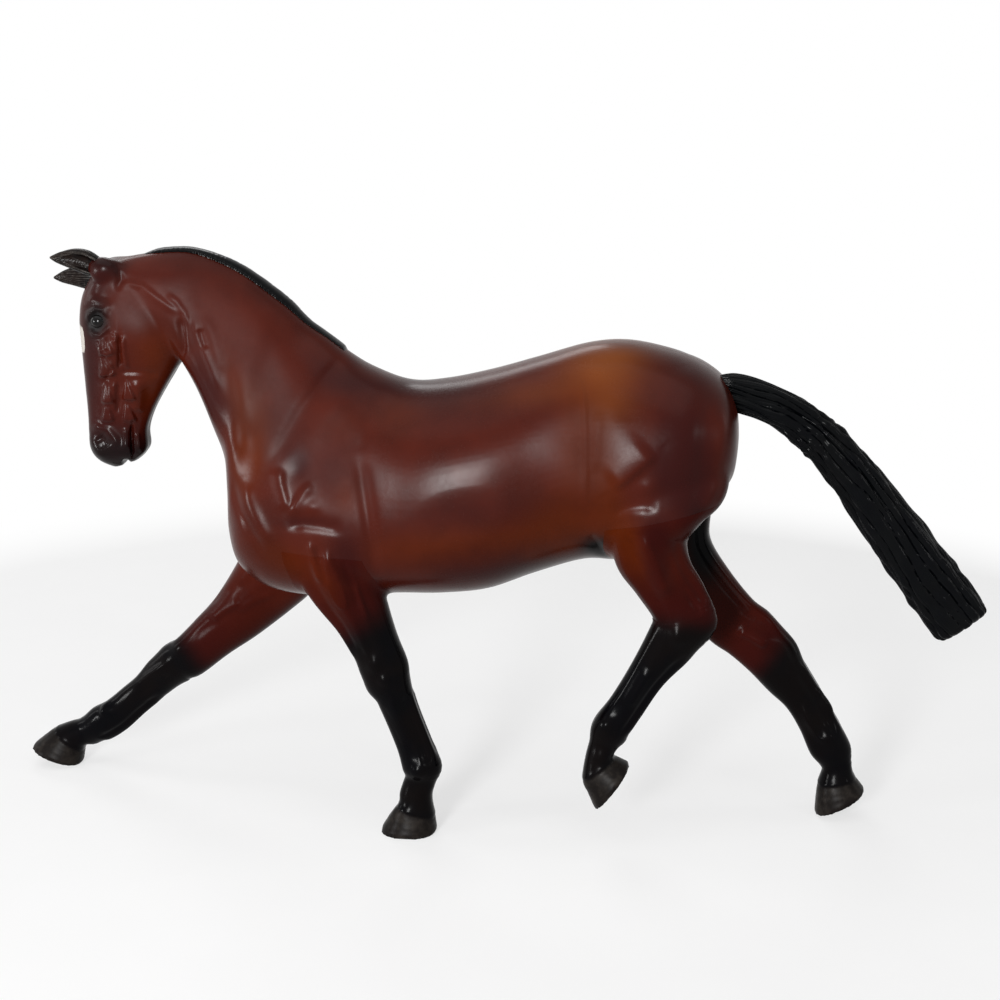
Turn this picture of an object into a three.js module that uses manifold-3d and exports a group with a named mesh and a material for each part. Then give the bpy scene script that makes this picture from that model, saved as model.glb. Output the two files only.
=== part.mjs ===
// A toy farm animal: a bay horse at the trot, moulded in rigid plastic.
// Two hollow body halves meet on the middle plane. Four legs, the tail, the mane
// and the two ears are moulded by themselves and plug or lie onto the halves.
// Millimetres. +Z is up, the horse looks along -X, and its left side is -Y.
import * as THREE from 'three';
import Module from 'manifold-3d';
import { mergeVertices } from 'three/addons/utils/BufferGeometryUtils.js';

const wasm = await Module();
wasm.setup();

// Trunk
const trunkLength = 136;        // point of the shoulder to the buttock
const trunkDepth = 58;          // back to belly at the girth
const barrelWidth = 48;         // across the ribs
const bellyHeight = 66;         // belly above the ground

// Neck, from the withers to the poll
const neckReach = 46;
const neckRise = 40;
const neckWidth = 24;

// Head, from the poll to the lips
const headLength = 58;
const headDepth = 28;           // forehead to cheek is about one depth
const headWidth = 18.5;         // across the eyes
const eyeRadius = 2.5;
const mouthDepth = 3.2;         // how far the slit of the mouth runs up
const mouthOpening = 2.8;       // across the slit at the lips
const mouthEnd = 0.7;           // across the slit at its upper end

// Ears
const earLength = 14.4;
const earDepth = 6.2;
const earWidth = 4.6;
const earPegRadius = 1.1;
const earPegLength = 3.4;

// Legs
const forelegDepth = 20;        // fore and aft through the forearm
const forelegWidth = 16;        // across the elbow
const hindlegDepth = 20;        // fore and aft through the second thigh
const hindlegWidth = 18;        // across the stifle
const hoofLength = 15.7;         // toe to heel of the sole
const hoofWidth = 13.5;
const hoofHeight = 8;

// Where each sole stands: ahead of the middle of the trunk, out from the middle
// plane, and above the ground. The tilt lifts the toe, in degrees.
const stance = {
  foreleg_left: { soleAhead: 23.8, soleOut: 11.5, soleLift: 0, tilt: 0 },
  foreleg_right: { soleAhead: 134.0, soleOut: 23.5, soleLift: 0, tilt: 20 },
  hindleg_left: { soleAhead: -31.8, soleOut: 14, soleLift: 10.4, tilt: -54 },
  hindleg_right: { soleAhead: -93.8, soleOut: 11, soleLift: 0, tilt: -29 },
};

// Tail
const tailReach = 63;
const tailDrop = 61;
const tailDepth = 16.5;
const tailWidth = 9;

// Mane, a strip that lies over the crest and falls to the right
const maneThickness = 2;

// Moulding and joining
const wall = 2.4;               // wall of the body halves
const seamGap = 0.3;            // between two pieces that meet
const spigotRadius = 3.1;       // round stub on top of each leg
const spigotLength = 6;
const pegRadius = 1.6;          // locating pegs of the left half
const pegLength = 4;            // how far a peg stands out of its half
const overrun = 200;            // reach of a cutting block past the figure

// Counts of points round a section and of steps between two rows of a table
const bodySides = 24;
const headSides = 20;
const limbSides = 14;
const earSides = 12;
const bodySteps = 2;
const limbSteps = 1;
const roundSides = 16;

// How round a section is: 1 is an ellipse, and less is fuller.
const roundShare = 0.889;

// Rows at the buttock and at the poll that stay solid.
const solidEndRows = 2;

// Body sections from the buttock to the base of the neck. Each row: belly point and
// back point, each along the trunk (0 at the chest) and up it (0 at the belly), half
// width as a share of half the barrel, narrowing towards the back, solid share.
const trunkZeroShare = 0.544;     // where along the trunk X is zero
const trunkShares = [
  [1.000, 0.700, 1.002, 0.800, 0.22, 0.00, 0.30],
  [0.992, 0.586, 0.996, 0.914, 0.50, 0.00, 0.30],
  [0.965, 0.483, 0.972, 1.022, 0.73, 0.02, 0.30],
  [0.919, 0.379, 0.919, 1.108, 0.88, 0.04, 0.32],
  [0.860, 0.276, 0.860, 1.155, 0.94, 0.05, 0.36],
  [0.787, 0.198, 0.787, 1.186, 0.94, 0.06, 0.38],
  [0.713, 0.192, 0.713, 1.171, 0.92, 0.08, 0.20],
  [0.618, 0.122, 0.618, 1.103, 0.96, 0.10, 0.03],
  [0.529, 0.042, 0.529, 1.040, 1.00, 0.10, 0.00],
  [0.441, 0.014, 0.441, 0.993, 1.00, 0.12, 0.02],
  [0.360, 0.007, 0.368, 0.983, 0.96, 0.16, 0.20],
  [0.279, -0.005, 0.294, 1.045, 0.91, 0.24, 0.41],
  [0.176, -0.020, 0.250, 1.112, 0.87, 0.32, 0.39],
  [0.088, 0.012, 0.213, 1.177, 0.81, 0.36, 0.34],
  [0.034, 0.104, 0.173, 1.240, 0.72, 0.36, 0.27],
  [0.014, 0.241, 0.138, 1.312, 0.62, 0.32, 0.17],
];

// Neck sections from its base to the poll. Each row: throat point and crest point,
// each forward of the neck's root and up from it, half width as a share of half the
// neck, narrowing towards the crest, solid share.
const neckRootShares = { along: 0.147, up: 0.845 };
const neckShares = [
  [0.395, -0.625, 0.141, 0.780, 1.12, 0.28, 0.08],
  [0.403, -0.375, 0.278, 0.892, 0.97, 0.26, 0.03],
  [0.470, -0.145, 0.420, 0.975, 0.86, 0.24, 0.00],
  [0.550, 0.100, 0.587, 1.030, 0.78, 0.20, 0.00],
  [0.655, 0.335, 0.757, 1.025, 0.72, 0.14, 0.00],
  [0.740, 0.525, 0.907, 1.000, 0.66, 0.08, 0.00],
  [0.826, 0.725, 1.020, 0.972, 0.50, 0.00, 0.00],
];

// Head sections from the poll to the lips. Each row: down the head, forehead side and
// jaw side forward of the poll, half width as a share of half the head, lift of the jaw.
const headShares = [
  [0.012, 0.100, -0.130, 0.34, 0.000],
  [0.078, 0.232, -0.320, 0.72, 0.000],
  [0.172, 0.355, -0.482, 0.90, 0.000],
  [0.276, 0.402, -0.592, 1.00, 0.000],
  [0.379, 0.404, -0.630, 0.97, 0.000],
  [0.491, 0.397, -0.550, 0.86, 0.000],
  [0.612, 0.389, -0.405, 0.73, 0.000],
  [0.724, 0.381, -0.279, 0.64, 0.000],
  [0.828, 0.381, -0.210, 0.62, 0.010],
  [0.905, 0.370, -0.204, 0.64, 0.025],
  [0.958, 0.290, -0.165, 0.50, 0.038],
  [0.990, 0.150, -0.070, 0.26, 0.032],
];
const eyeShares = { down: 0.268, forward: 0.150, out: 0.80 };
const mouthShares = { forward: 0.012, up: 0.985 };

// A leg is told along the straight line from its root to its coronet. Each row: along
// that line, bow to the front of it, depth and width as shares of the leg's own sizes.
const forelegLeftShares = [
  [-0.36, -0.02, 0.80, 0.55],
  [-0.24, -0.02, 1.32, 0.88],
  [-0.12, -0.01, 1.52, 1.04],
  [0.00, 0.00, 1.38, 1.06],
  [0.16, 0.00, 0.97, 0.88],
  [0.27, -0.02, 0.77, 0.76],
  [0.36, -0.03, 0.68, 0.68],
  [0.45, -0.04, 0.62, 0.63],
  [0.53, -0.04, 0.59, 0.62],
  [0.59, -0.045, 0.51, 0.53],
  [0.66, -0.050, 0.48, 0.47],
  [0.77, -0.058, 0.48, 0.46],
  [0.85, -0.060, 0.52, 0.55],
  [0.90, -0.043, 0.45, 0.46],
  [0.95, -0.012, 0.45, 0.50],
];
const forelegRightShares = [
  [-0.34, 0.09, 0.80, 0.55],
  [-0.23, 0.05, 1.26, 0.88],
  [-0.12, 0.01, 1.46, 1.04],
  [0.00, 0.00, 1.32, 1.04],
  [0.10, -0.03, 1.06, 0.94],
  [0.27, -0.05, 0.80, 0.76],
  [0.39, -0.05, 0.68, 0.66],
  [0.50, -0.05, 0.62, 0.62],
  [0.55, -0.04, 0.56, 0.56],
  [0.63, -0.04, 0.51, 0.48],
  [0.73, -0.04, 0.48, 0.46],
  [0.82, -0.04, 0.50, 0.52],
  [0.88, -0.03, 0.52, 0.55],
  [0.93, -0.02, 0.43, 0.46],
  [0.96, -0.01, 0.42, 0.50],
];
const hindlegLeftShares = [
  [-0.34, 0.01, 0.90, 0.55],
  [-0.22, 0.01, 1.50, 0.86],
  [-0.10, 0.01, 1.74, 1.02],
  [0.00, -0.01, 1.50, 0.98],
  [0.09, 0.010, 1.12, 0.88],
  [0.18, -0.020, 0.96, 0.76],
  [0.25, -0.075, 0.82, 0.64],
  [0.32, -0.14, 0.78, 0.55],
  [0.39, -0.18, 0.80, 0.53],
  [0.46, -0.16, 0.68, 0.50],
  [0.61, -0.098, 0.50, 0.41],
  [0.75, -0.050, 0.47, 0.40],
  [0.85, -0.011, 0.49, 0.48],
  [0.92, -0.001, 0.40, 0.41],
];
const hindlegRightShares = [
  [-0.27, -0.16, 0.90, 0.55],
  [-0.18, -0.10, 1.48, 0.86],
  [-0.08, -0.04, 1.62, 1.02],
  [0.00, 0.01, 1.46, 0.98],
  [0.10, 0.020, 1.12, 0.90],
  [0.19, 0.045, 0.88, 0.80],
  [0.31, 0.040, 0.80, 0.68],
  [0.43, 0.025, 0.82, 0.58],
  [0.50, -0.003, 0.80, 0.54],
  [0.59, -0.022, 0.71, 0.52],
  [0.67, -0.030, 0.61, 0.48],
  [0.74, -0.038, 0.53, 0.42],
  [0.82, -0.037, 0.52, 0.41],
  [0.90, -0.030, 0.55, 0.48],
  [0.96, -0.022, 0.43, 0.42],
];

// Hoof rows from the coronet to the sole: toe side and heel side, each along the sole
// and up the hoof, and the width.
const hoofShares = [
  [-0.17, 1.03, 0.46, 0.65, 0.70],
  [-0.33, 0.56, 0.47, 0.36, 0.86],
  [-0.46, 0.13, 0.49, 0.09, 0.98],
  [-0.49, 0.00, 0.46, 0.00, 0.96],
];

// Above its root a leg leans in towards the middle plane, by this share of its way out.
const rootInShare = 1.3;

// Each leg's root on the trunk, the place and lean of its joint, and its tables.
const legs = [
  {
    name: 'foreleg_left', side: -1, rootShares: { along: 0.228, up: 0.293, out: 0.563 },
    jointShare: 0.03, lean: -20, depth: forelegDepth, width: forelegWidth,
    rowShares: forelegLeftShares,
  },
  {
    name: 'foreleg_right', side: 1, rootShares: { along: 0.103, up: 0.103, out: 0.563 },
    jointShare: 0.06, lean: 0, depth: forelegDepth, width: forelegWidth,
    rowShares: forelegRightShares,
  },
  {
    name: 'hindleg_left', side: -1, rootShares: { along: 0.853, up: 0.500, out: 0.604 },
    jointShare: 0.03, lean: 25, depth: hindlegDepth, width: hindlegWidth,
    rowShares: hindlegLeftShares,
  },
  {
    name: 'hindleg_right', side: 1, rootShares: { along: 0.853, up: 0.448, out: 0.604 },
    jointShare: 0.02, lean: -20, depth: hindlegDepth, width: hindlegWidth,
    rowShares: hindlegRightShares,
  },
];

// Tail rows from the plug to the cut end: back and down, depth and width.
const tailRootShares = { along: 0.985, up: 0.970 };
const tailShares = [
  [-0.085, 0.000, 0.42, 0.56],
  [0.000, 0.004, 0.60, 0.74],
  [0.130, 0.040, 0.60, 0.84],
  [0.237, 0.093, 0.64, 0.92],
  [0.330, 0.162, 0.69, 0.98],
  [0.413, 0.240, 0.74, 1.00],
  [0.560, 0.422, 0.81, 1.00],
  [0.767, 0.705, 0.94, 1.00],
  [0.880, 0.857, 0.98, 0.98],
  [0.998, 1.016, 0.97, 0.92],
];

// Mane rows from the withers to the poll: how far it reaches left and right of the
// crest, as shares of a half turn round the section, and its thickness.
const maneShares = [
  [-0.02, 0.12, 0.36],
  [-0.03, 0.22, 0.42],
  [-0.04, 0.30, 0.62],
  [-0.05, 0.35, 1.00],
  [-0.06, 0.38, 1.05],
  [-0.06, 0.40, 1.00],
  [-0.06, 0.41, 0.85],
  [-0.05, 0.41, 0.70],
  [-0.05, 0.38, 0.60],
  [-0.04, 0.30, 0.50],
];
const maneEdgeShare = 0.06;      // of a half wave, that the edges are rounded from
const manePoints = 9;
const maneTrunkRows = 4;         // rows of the trunk that lie under the mane

// Ear rows from the root to the tip: along the ear, bow, depth and width.
const earShares = [
  [-0.10, 0.00, 0.62, 0.80],
  [0.10, 0.02, 0.86, 0.96],
  [0.34, 0.06, 1.00, 1.00],
  [0.58, 0.06, 0.84, 0.80],
  [0.80, 0.02, 0.52, 0.54],
  [0.94, -0.01, 0.24, 0.30],
  [1.00, -0.02, 0.07, 0.10],
];
const cupShares = { depth: 0.62, width: 0.70 };   // the cup of the ear in the ear
const ears = [
  { name: 'ear_left', side: -1, rise: 13, rootShares: { down: 0.055, forward: 0.110, out: 0.55 } },
  { name: 'ear_right', side: 1, rise: 6, rootShares: { down: 0.146, forward: 0.200, out: 0.55 } },
];

// Locating pegs on the middle plane: two in the head and neck, two low in the trunk.
const trunkPegShares = [
  { along: 0.135, up: 0.17 },
  { along: 0.800, up: 0.34 },
];
const headPegShares = [
  { down: 0.30, forward: 0.05 },
  { down: 0.62, forward: 0.10 },
];

// Places on the trunk, on the neck and on the head.
const trunkPoint = (along, up) => [
  (along - trunkZeroShare) * trunkLength,
  bellyHeight + up * trunkDepth,
];
const neckPoint = (forward, up) => {
  const [x, z] = trunkPoint(neckRootShares.along, neckRootShares.up);
  return [x - forward * neckReach, z + up * neckRise];
};
const headPoint = (down, forward) => {
  const [x, z] = neckPoint(1, 1);
  return [x - forward * headDepth, z - down * headLength];
};

// Catmull-Rom rows between the rows of a table, so that a few sections give a smooth skin.
function smoothRows(rows, steps) {
  const out = [];
  for (let i = 0; i < rows.length - 1; i += 1) {
    const a = rows[Math.max(i - 1, 0)];
    const b = rows[i];
    const c = rows[i + 1];
    const d = rows[Math.min(i + 2, rows.length - 1)];
    for (let k = 0; k < steps; k += 1) {
      const t = k / steps;
      out.push(b.map((value, n) => 0.5 * (2 * value + (c[n] - a[n]) * t
        + (2 * a[n] - 5 * value + 4 * c[n] - d[n]) * t * t
        + (3 * value - a[n] - 3 * c[n] + d[n]) * t * t * t)));
    }
  }
  out.push(rows[rows.length - 1]);
  return out;
}

// A section: p and q are its two ends on the side view, y its middle, w its half width,
// and narrow draws it in towards q. Round it goes a power curve, fuller than an ellipse.
function sectionPoint(row, angle, grow = 0) {
  const up = Math.cos(angle);
  const out = Math.sin(angle);
  const upPart = Math.sign(up) * Math.abs(up) ** roundShare;
  const outPart = Math.sign(out) * Math.abs(out) ** roundShare;
  const halfX = (row.q[0] - row.p[0]) / 2;
  const halfZ = (row.q[1] - row.p[1]) / 2;
  const stretch = 1 + grow / Math.hypot(halfX, halfZ);
  return new THREE.Vector3(
    (row.p[0] + row.q[0]) / 2 + halfX * stretch * upPart,
    row.y + (row.w + grow) * outPart * (1 - row.narrow * upPart),
    (row.p[1] + row.q[1]) / 2 + halfZ * stretch * upPart,
  );
}

// A closed skin over rings of points, all of one length, with a fan over each end.
function skin(rings) {
  const count = rings[0].length;
  const points = rings.flat();
  const index = [];
  for (let i = 0; i < rings.length - 1; i += 1) {
    for (let k = 0; k < count; k += 1) {
      const a = i * count + k;
      const b = i * count + (k + 1) % count;
      index.push(a, b, a + count, b, b + count, a + count);
    }
  }
  for (const [first, flip] of [[0, false], [(rings.length - 1) * count, true]]) {
    const middle = points.length;
    const sum = new THREE.Vector3();
    for (let k = 0; k < count; k += 1) sum.add(points[first + k]);
    points.push(sum.divideScalar(count));
    for (let k = 0; k < count; k += 1) {
      const a = first + k;
      const b = first + (k + 1) % count;
      index.push(...(flip ? [a, b, middle] : [b, a, middle]));
    }
  }
  const geometry = new THREE.BufferGeometry().setFromPoints(points);
  geometry.setIndex(index);
  return geometry;
}

// three.js geometry to a solid that can be joined and cut, turned to face outwards.
function solid(geometry) {
  const bare = geometry.clone();
  bare.deleteAttribute('normal');
  bare.deleteAttribute('uv');
  const merged = mergeVertices(bare);
  const triVerts = new Uint32Array(merged.index.array);
  const vertProperties = merged.attributes.position.array;
  const made = new wasm.Manifold(new wasm.Mesh({ numProp: 3, vertProperties, triVerts }));
  if (made.volume() > 0) return made;
  for (let i = 0; i < triVerts.length; i += 3) {
    [triVerts[i + 1], triVerts[i + 2]] = [triVerts[i + 2], triVerts[i + 1]];
  }
  return new wasm.Manifold(new wasm.Mesh({ numProp: 3, vertProperties, triVerts }));
}

function toGeometry(manifold) {
  const made = manifold.getMesh();
  const geometry = new THREE.BufferGeometry();
  geometry.setAttribute('position', new THREE.BufferAttribute(made.vertProperties, 3));
  geometry.setIndex(new THREE.BufferAttribute(made.triVerts, 1));
  const loose = geometry.toNonIndexed();
  loose.computeVertexNormals();
  return loose;
}

function loft(rows, sides, grow = 0) {
  const angles = Array.from({ length: sides }, (_, k) => (2 * Math.PI * k) / sides);
  return solid(skin(rows.map((row) => angles.map((angle) => sectionPoint(row, angle, grow)))));
}

// A round rod from a to b, with its ends square.
function rod(a, b, radius) {
  const along = new THREE.Vector3().subVectors(b, a);
  const geometry = new THREE.CylinderGeometry(radius, radius, along.length(), roundSides);
  const turn = new THREE.Quaternion().setFromUnitVectors(
    new THREE.Vector3(0, 1, 0),
    along.clone().normalize(),
  );
  geometry.applyQuaternion(turn);
  geometry.translate(...a.clone().addScaledVector(along, 0.5).toArray());
  return solid(geometry);
}

// A block that fills everything past a plane, on the side that the normal points to.
function blockPast(point, normal) {
  const geometry = new THREE.BoxGeometry(2 * overrun, 2 * overrun, overrun);
  geometry.translate(0, 0, overrun / 2);
  geometry.applyQuaternion(new THREE.Quaternion().setFromUnitVectors(
    new THREE.Vector3(0, 0, 1),
    normal.clone().normalize(),
  ));
  geometry.translate(...point.toArray());
  return solid(geometry);
}

// Trunk and neck as one run of sections from the buttock to the poll.
function bodyRows() {
  const trunk = trunkShares.map(([px, pz, qx, qz, w, narrow, solidPart]) => [
    ...trunkPoint(px, pz), ...trunkPoint(qx, qz), (w * barrelWidth) / 2, narrow, solidPart,
  ]);
  const neck = neckShares.map(([px, pz, qx, qz, w, narrow, solidPart]) => [
    ...neckPoint(px, pz), ...neckPoint(qx, qz), (w * neckWidth) / 2, narrow, solidPart,
  ]);
  return smoothRows([...trunk, ...neck], bodySteps).map((r) => ({
    p: [r[0], r[1]], q: [r[2], r[3]], y: 0, w: r[4], narrow: r[5], solidPart: r[6],
  }));
}

function headRows() {
  const rows = headShares.map(([down, front, back, w, lift]) => [
    ...headPoint(down, front), ...headPoint(down - lift, back), (w * headWidth) / 2,
  ]);
  return smoothRows(rows, bodySteps).map((r) => ({
    p: [r[0], r[1]], q: [r[2], r[3]], y: 0, w: r[4], narrow: 0,
  }));
}

// The hollow follows the outside one wall further in, and stays clear of the thick
// places low in the chest and the thigh that take the legs. Its half width is that of
// the outside at the height of its own middle, less the wall.
function hollowRows(rows) {
  const first = solidEndRows * bodySteps;
  const last = rows.length - 1 - solidEndRows * bodySteps;
  return rows.slice(first, last + 1).map((row) => {
    const dx = row.q[0] - row.p[0];
    const dz = row.q[1] - row.p[1];
    const depth = Math.hypot(dx, dz);
    const low = (wall + row.solidPart * depth) / depth;
    const high = 1 - wall / depth;
    const rise = low + high - 1;
    const round = (1 - Math.abs(rise) ** (2 / roundShare)) ** (roundShare / 2);
    const slim = round * (1 - row.narrow * rise);
    return {
      p: [row.p[0] + dx * low, row.p[1] + dz * low],
      q: [row.p[0] + dx * high, row.p[1] + dz * high],
      y: 0,
      w: row.w * slim - wall,
      narrow: row.narrow,
    };
  });
}

// Hoof rows in place: turned by the tilt about the sole and set on the stance.
function hoofRows(leg) {
  const { soleAhead, soleLift, tilt } = stance[leg.name];
  const turn = THREE.MathUtils.degToRad(tilt);
  const turned = ([x, z]) => [
    x * hoofLength * Math.cos(turn) + z * hoofHeight * Math.sin(turn),
    -x * hoofLength * Math.sin(turn) + z * hoofHeight * Math.cos(turn),
  ];
  const rows = hoofShares.map(([toeX, toeZ, heelX, heelZ, w]) => [
    ...turned([toeX, toeZ]), ...turned([heelX, heelZ]), (w * hoofWidth) / 2,
  ]);
  const sole = rows[rows.length - 1];
  const lowest = Math.min(sole[1], sole[3]);
  return rows.map(([px, pz, qx, qz, w]) => [
    px - soleAhead, pz - lowest + soleLift, qx - soleAhead, qz - lowest + soleLift, w,
  ]);
}

// One leg: its rows from inside the body to the sole, its joint and its way down.
function legPlan(leg) {
  const root = trunkPoint(leg.rootShares.along, leg.rootShares.up);
  const rootOut = (leg.rootShares.out * barrelWidth) / 2;
  const { soleOut } = stance[leg.name];
  const hoof = hoofRows(leg);
  const coronet = [(hoof[0][0] + hoof[0][2]) / 2, (hoof[0][1] + hoof[0][3]) / 2];
  const way = [coronet[0] - root[0], coronet[1] - root[1]];
  const length = Math.hypot(...way);
  const centres = leg.rowShares.map(([along, bow]) => [
    root[0] + along * way[0] + bow * way[1],
    root[1] + along * way[1] - bow * way[0],
  ]);
  centres.push(coronet);
  const rows = leg.rowShares.map(([along, , depth, width], i) => {
    const before = centres[Math.max(i - 1, 0)];
    const after = centres[i + 1];
    const run = [after[0] - before[0], after[1] - before[1]];
    const size = Math.hypot(...run);
    const half = (depth * leg.depth) / 2;
    const front = [(run[1] / size) * half, (-run[0] / size) * half];
    const [x, z] = centres[i];
    const out = along > 0
      ? rootOut + (soleOut - rootOut) * Math.min(along, 1)
      : rootOut * (1 + rootInShare * along);
    return [x + front[0], z + front[1], x - front[0], z - front[1], (width * leg.width) / 2, out];
  });
  for (const row of hoof) rows.push([...row, soleOut]);
  const lean = THREE.MathUtils.degToRad(leg.lean);
  const down = [way[0] / length, way[1] / length];
  return {
    rows: smoothRows(rows, limbSteps).map((r) => ({
      p: [r[0], r[1]], q: [r[2], r[3]], y: leg.side * r[5], w: r[4], narrow: 0,
    })),
    joint: new THREE.Vector3(
      root[0] + way[0] * leg.jointShare,
      leg.side * rootOut,
      root[1] + way[1] * leg.jointShare,
    ),
    down: new THREE.Vector3(
      down[0] * Math.cos(lean) - down[1] * Math.sin(lean),
      0,
      down[0] * Math.sin(lean) + down[1] * Math.cos(lean),
    ),
  };
}

function tailRows() {
  const [rootX, rootZ] = trunkPoint(tailRootShares.along, tailRootShares.up);
  const centres = tailShares.map(([back, drop]) => [rootX + back * tailReach, rootZ - drop * tailDrop]);
  const rows = tailShares.map(([, , depth, width], i) => {
    const before = centres[Math.max(i - 1, 0)];
    const after = centres[Math.min(i + 1, centres.length - 1)];
    const run = [after[0] - before[0], after[1] - before[1]];
    const half = (depth * tailDepth) / 2 / Math.hypot(...run);
    const [x, z] = centres[i];
    return [x + run[1] * half, z - run[0] * half, x - run[1] * half, z + run[0] * half,
      (width * tailWidth) / 2];
  });
  return smoothRows(rows, limbSteps).map((r) => ({
    p: [r[0], r[1]], q: [r[2], r[3]], y: 0, w: r[4], narrow: 0,
  }));
}

// The mane hugs the grown outline of the neck's own sections, from a little left of
// the crest to well down the right side.
function mane(rows) {
  const firstRow = (trunkShares.length - maneTrunkRows) * bodySteps;
  const own = rows.slice(firstRow, firstRow + (maneShares.length - 1) * bodySteps + 1);
  const cover = smoothRows(maneShares, bodySteps);
  const rings = own.map((row, i) => {
    const [left, right, thickness] = cover[i];
    const outer = [];
    const inner = [];
    for (let k = 0; k < manePoints; k += 1) {
      const t = k / (manePoints - 1);
      const angle = Math.PI * (left + (right - left) * t);
      const wave = maneEdgeShare + (1 - 2 * maneEdgeShare) * t;
      const round = Math.sqrt(Math.sin(Math.PI * wave));
      const grow = seamGap + maneThickness * thickness * round;
      outer.push(sectionPoint(row, angle, grow));
      inner.push(sectionPoint(row, angle, seamGap));
    }
    return [...outer, ...inner.reverse()];
  });
  return solid(skin(rings));
}

// An ear points forward from its root, rising by its own angle, with a cupped inside.
function ear(plan) {
  const [x, z] = headPoint(plan.rootShares.down, plan.rootShares.forward);
  const out = plan.side * plan.rootShares.out * (headWidth / 2);
  const rise = THREE.MathUtils.degToRad(plan.rise);
  const ahead = [-Math.cos(rise), Math.sin(rise)];
  const above = [ahead[1], -ahead[0]];
  const rowsOf = (depthScale, widthScale, shift) => smoothRows(earShares.map(
    ([along, bow, depth, width]) => {
      const centre = [
        x + earLength * (along * ahead[0] + bow * above[0]),
        z + earLength * (along * ahead[1] + bow * above[1]),
      ];
      const half = (depth * depthScale * earDepth) / 2;
      return [centre[0] - above[0] * half, centre[1] - above[1] * half,
        centre[0] + above[0] * half, centre[1] + above[1] * half,
        (width * widthScale * earWidth) / 2, out + plan.side * shift];
    },
  ), limbSteps).map((r) => ({ p: [r[0], r[1]], q: [r[2], r[3]], y: r[5], w: r[4], narrow: 0 }));
  const cupRows = rowsOf(cupShares.depth, cupShares.width, earWidth / 2);
  const cup = loft(cupRows.slice(limbSteps), earSides);
  const root = new THREE.Vector3(x, out, z);
  const inward = new THREE.Vector3(x - earPegLength * ahead[0], out, z - earPegLength * ahead[1]);
  return {
    whole: loft(rowsOf(1, 1, 0), earSides).subtract(cup),
    grown: loft(rowsOf(1, 1, 0), earSides, seamGap),
    peg: rod(root, inward, earPegRadius),
    socket: rod(root, inward.clone().addScaledVector(
      new THREE.Vector3(-ahead[0], 0, -ahead[1]),
      seamGap,
    ), earPegRadius + seamGap),
  };
}

function eye(side) {
  const [x, z] = headPoint(eyeShares.down, eyeShares.forward);
  const geometry = new THREE.SphereGeometry(eyeRadius, roundSides, roundSides / 2);
  geometry.translate(x, side * eyeShares.out * (headWidth / 2), z);
  return solid(geometry);
}

// The slit between the lips, cut across the head from below.
function mouthCut() {
  const [x, z] = headPoint(mouthShares.up, mouthShares.forward);
  const shape = new THREE.Shape([
    new THREE.Vector2(-mouthOpening / 2, -mouthDepth),
    new THREE.Vector2(mouthOpening / 2, -mouthDepth),
    new THREE.Vector2(mouthEnd / 2, mouthDepth),
    new THREE.Vector2(-mouthEnd / 2, mouthDepth),
  ]);
  const geometry = new THREE.ExtrudeGeometry(shape, { depth: headWidth, bevelEnabled: false });
  geometry.translate(0, 0, -headWidth / 2);
  geometry.rotateX(Math.PI / 2);
  geometry.translate(x, 0, z);
  return solid(geometry);
}

// Everything that the two halves are made of, before they are parted.
const outsideRows = bodyRows();
const legPlans = legs.map((leg) => ({ leg, plan: legPlan(leg) }));
const earPlans = ears.map((plan) => ({ plan, made: ear(plan) }));
const up = new THREE.Vector3(0, 0, 1);
const across = new THREE.Vector3(0, 1, 0);

let body = loft(outsideRows, bodySides).add(loft(headRows(), headSides));
for (const side of [-1, 1]) body = body.add(eye(side));
body = body.subtract(mouthCut());

const pieces = [];
for (const { leg, plan } of legPlans) {
  const whole = loft(plan.rows, limbSides);
  const grown = loft(plan.rows, limbSides, seamGap);
  const below = blockPast(plan.joint, plan.down);
  const bodySide = plan.joint.clone().addScaledVector(plan.down, -seamGap);
  const stubEnd = plan.joint.clone().addScaledVector(plan.down, -spigotLength);
  const socketEnd = stubEnd.clone().addScaledVector(plan.down, -seamGap);
  const stubStart = plan.joint.clone().addScaledVector(plan.down, spigotRadius);
  body = body.add(whole.subtract(blockPast(bodySide, plan.down)));
  body = body.subtract(grown.intersect(blockPast(bodySide, plan.down)));
  body = body.subtract(rod(plan.joint, socketEnd, spigotRadius + seamGap));
  pieces.push({
    name: leg.name,
    made: whole.intersect(below).add(rod(stubStart, stubEnd, spigotRadius)),
  });
}

const tailWhole = loft(tailRows(), limbSides);
body = body.subtract(loft(hollowRows(outsideRows), bodySides));
body = body.subtract(loft(tailRows(), limbSides, seamGap));
for (const { plan, made } of earPlans) {
  body = body.subtract(made.grown).subtract(made.socket);
  pieces.push({ name: plan.name, made: made.whole.add(made.peg) });
}
pieces.push({ name: 'tail', made: tailWhole });
pieces.push({
  name: 'mane',
  made: mane(outsideRows)
    .subtract(loft(headRows(), headSides, seamGap))
    .subtract(loft(outsideRows, bodySides, seamGap / 2)),
});

// The two halves, with pegs on the left one and their sockets in the right one.
const pegPlaces = [
  ...trunkPegShares.map((share) => trunkPoint(share.along, share.up)),
  ...headPegShares.map((share) => headPoint(share.down, share.forward)),
];
const halfGap = across.clone().multiplyScalar(seamGap / 2);
let leftHalf = body.subtract(blockPast(halfGap.clone().negate(), across));
let rightHalf = body.subtract(blockPast(halfGap, across.clone().negate()));
for (const [x, z] of pegPlaces) {
  const inside = new THREE.Vector3(x, -pegRadius, z);
  const tip = new THREE.Vector3(x, pegLength, z);
  leftHalf = leftHalf.add(rod(inside, tip, pegRadius));
  rightHalf = rightHalf.subtract(rod(inside, tip.addScaledVector(across, seamGap), pegRadius + seamGap));
}
pieces.push({ name: 'body_shell_left', made: leftHalf });
pieces.push({ name: 'body_shell_right', made: rightHalf });

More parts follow.
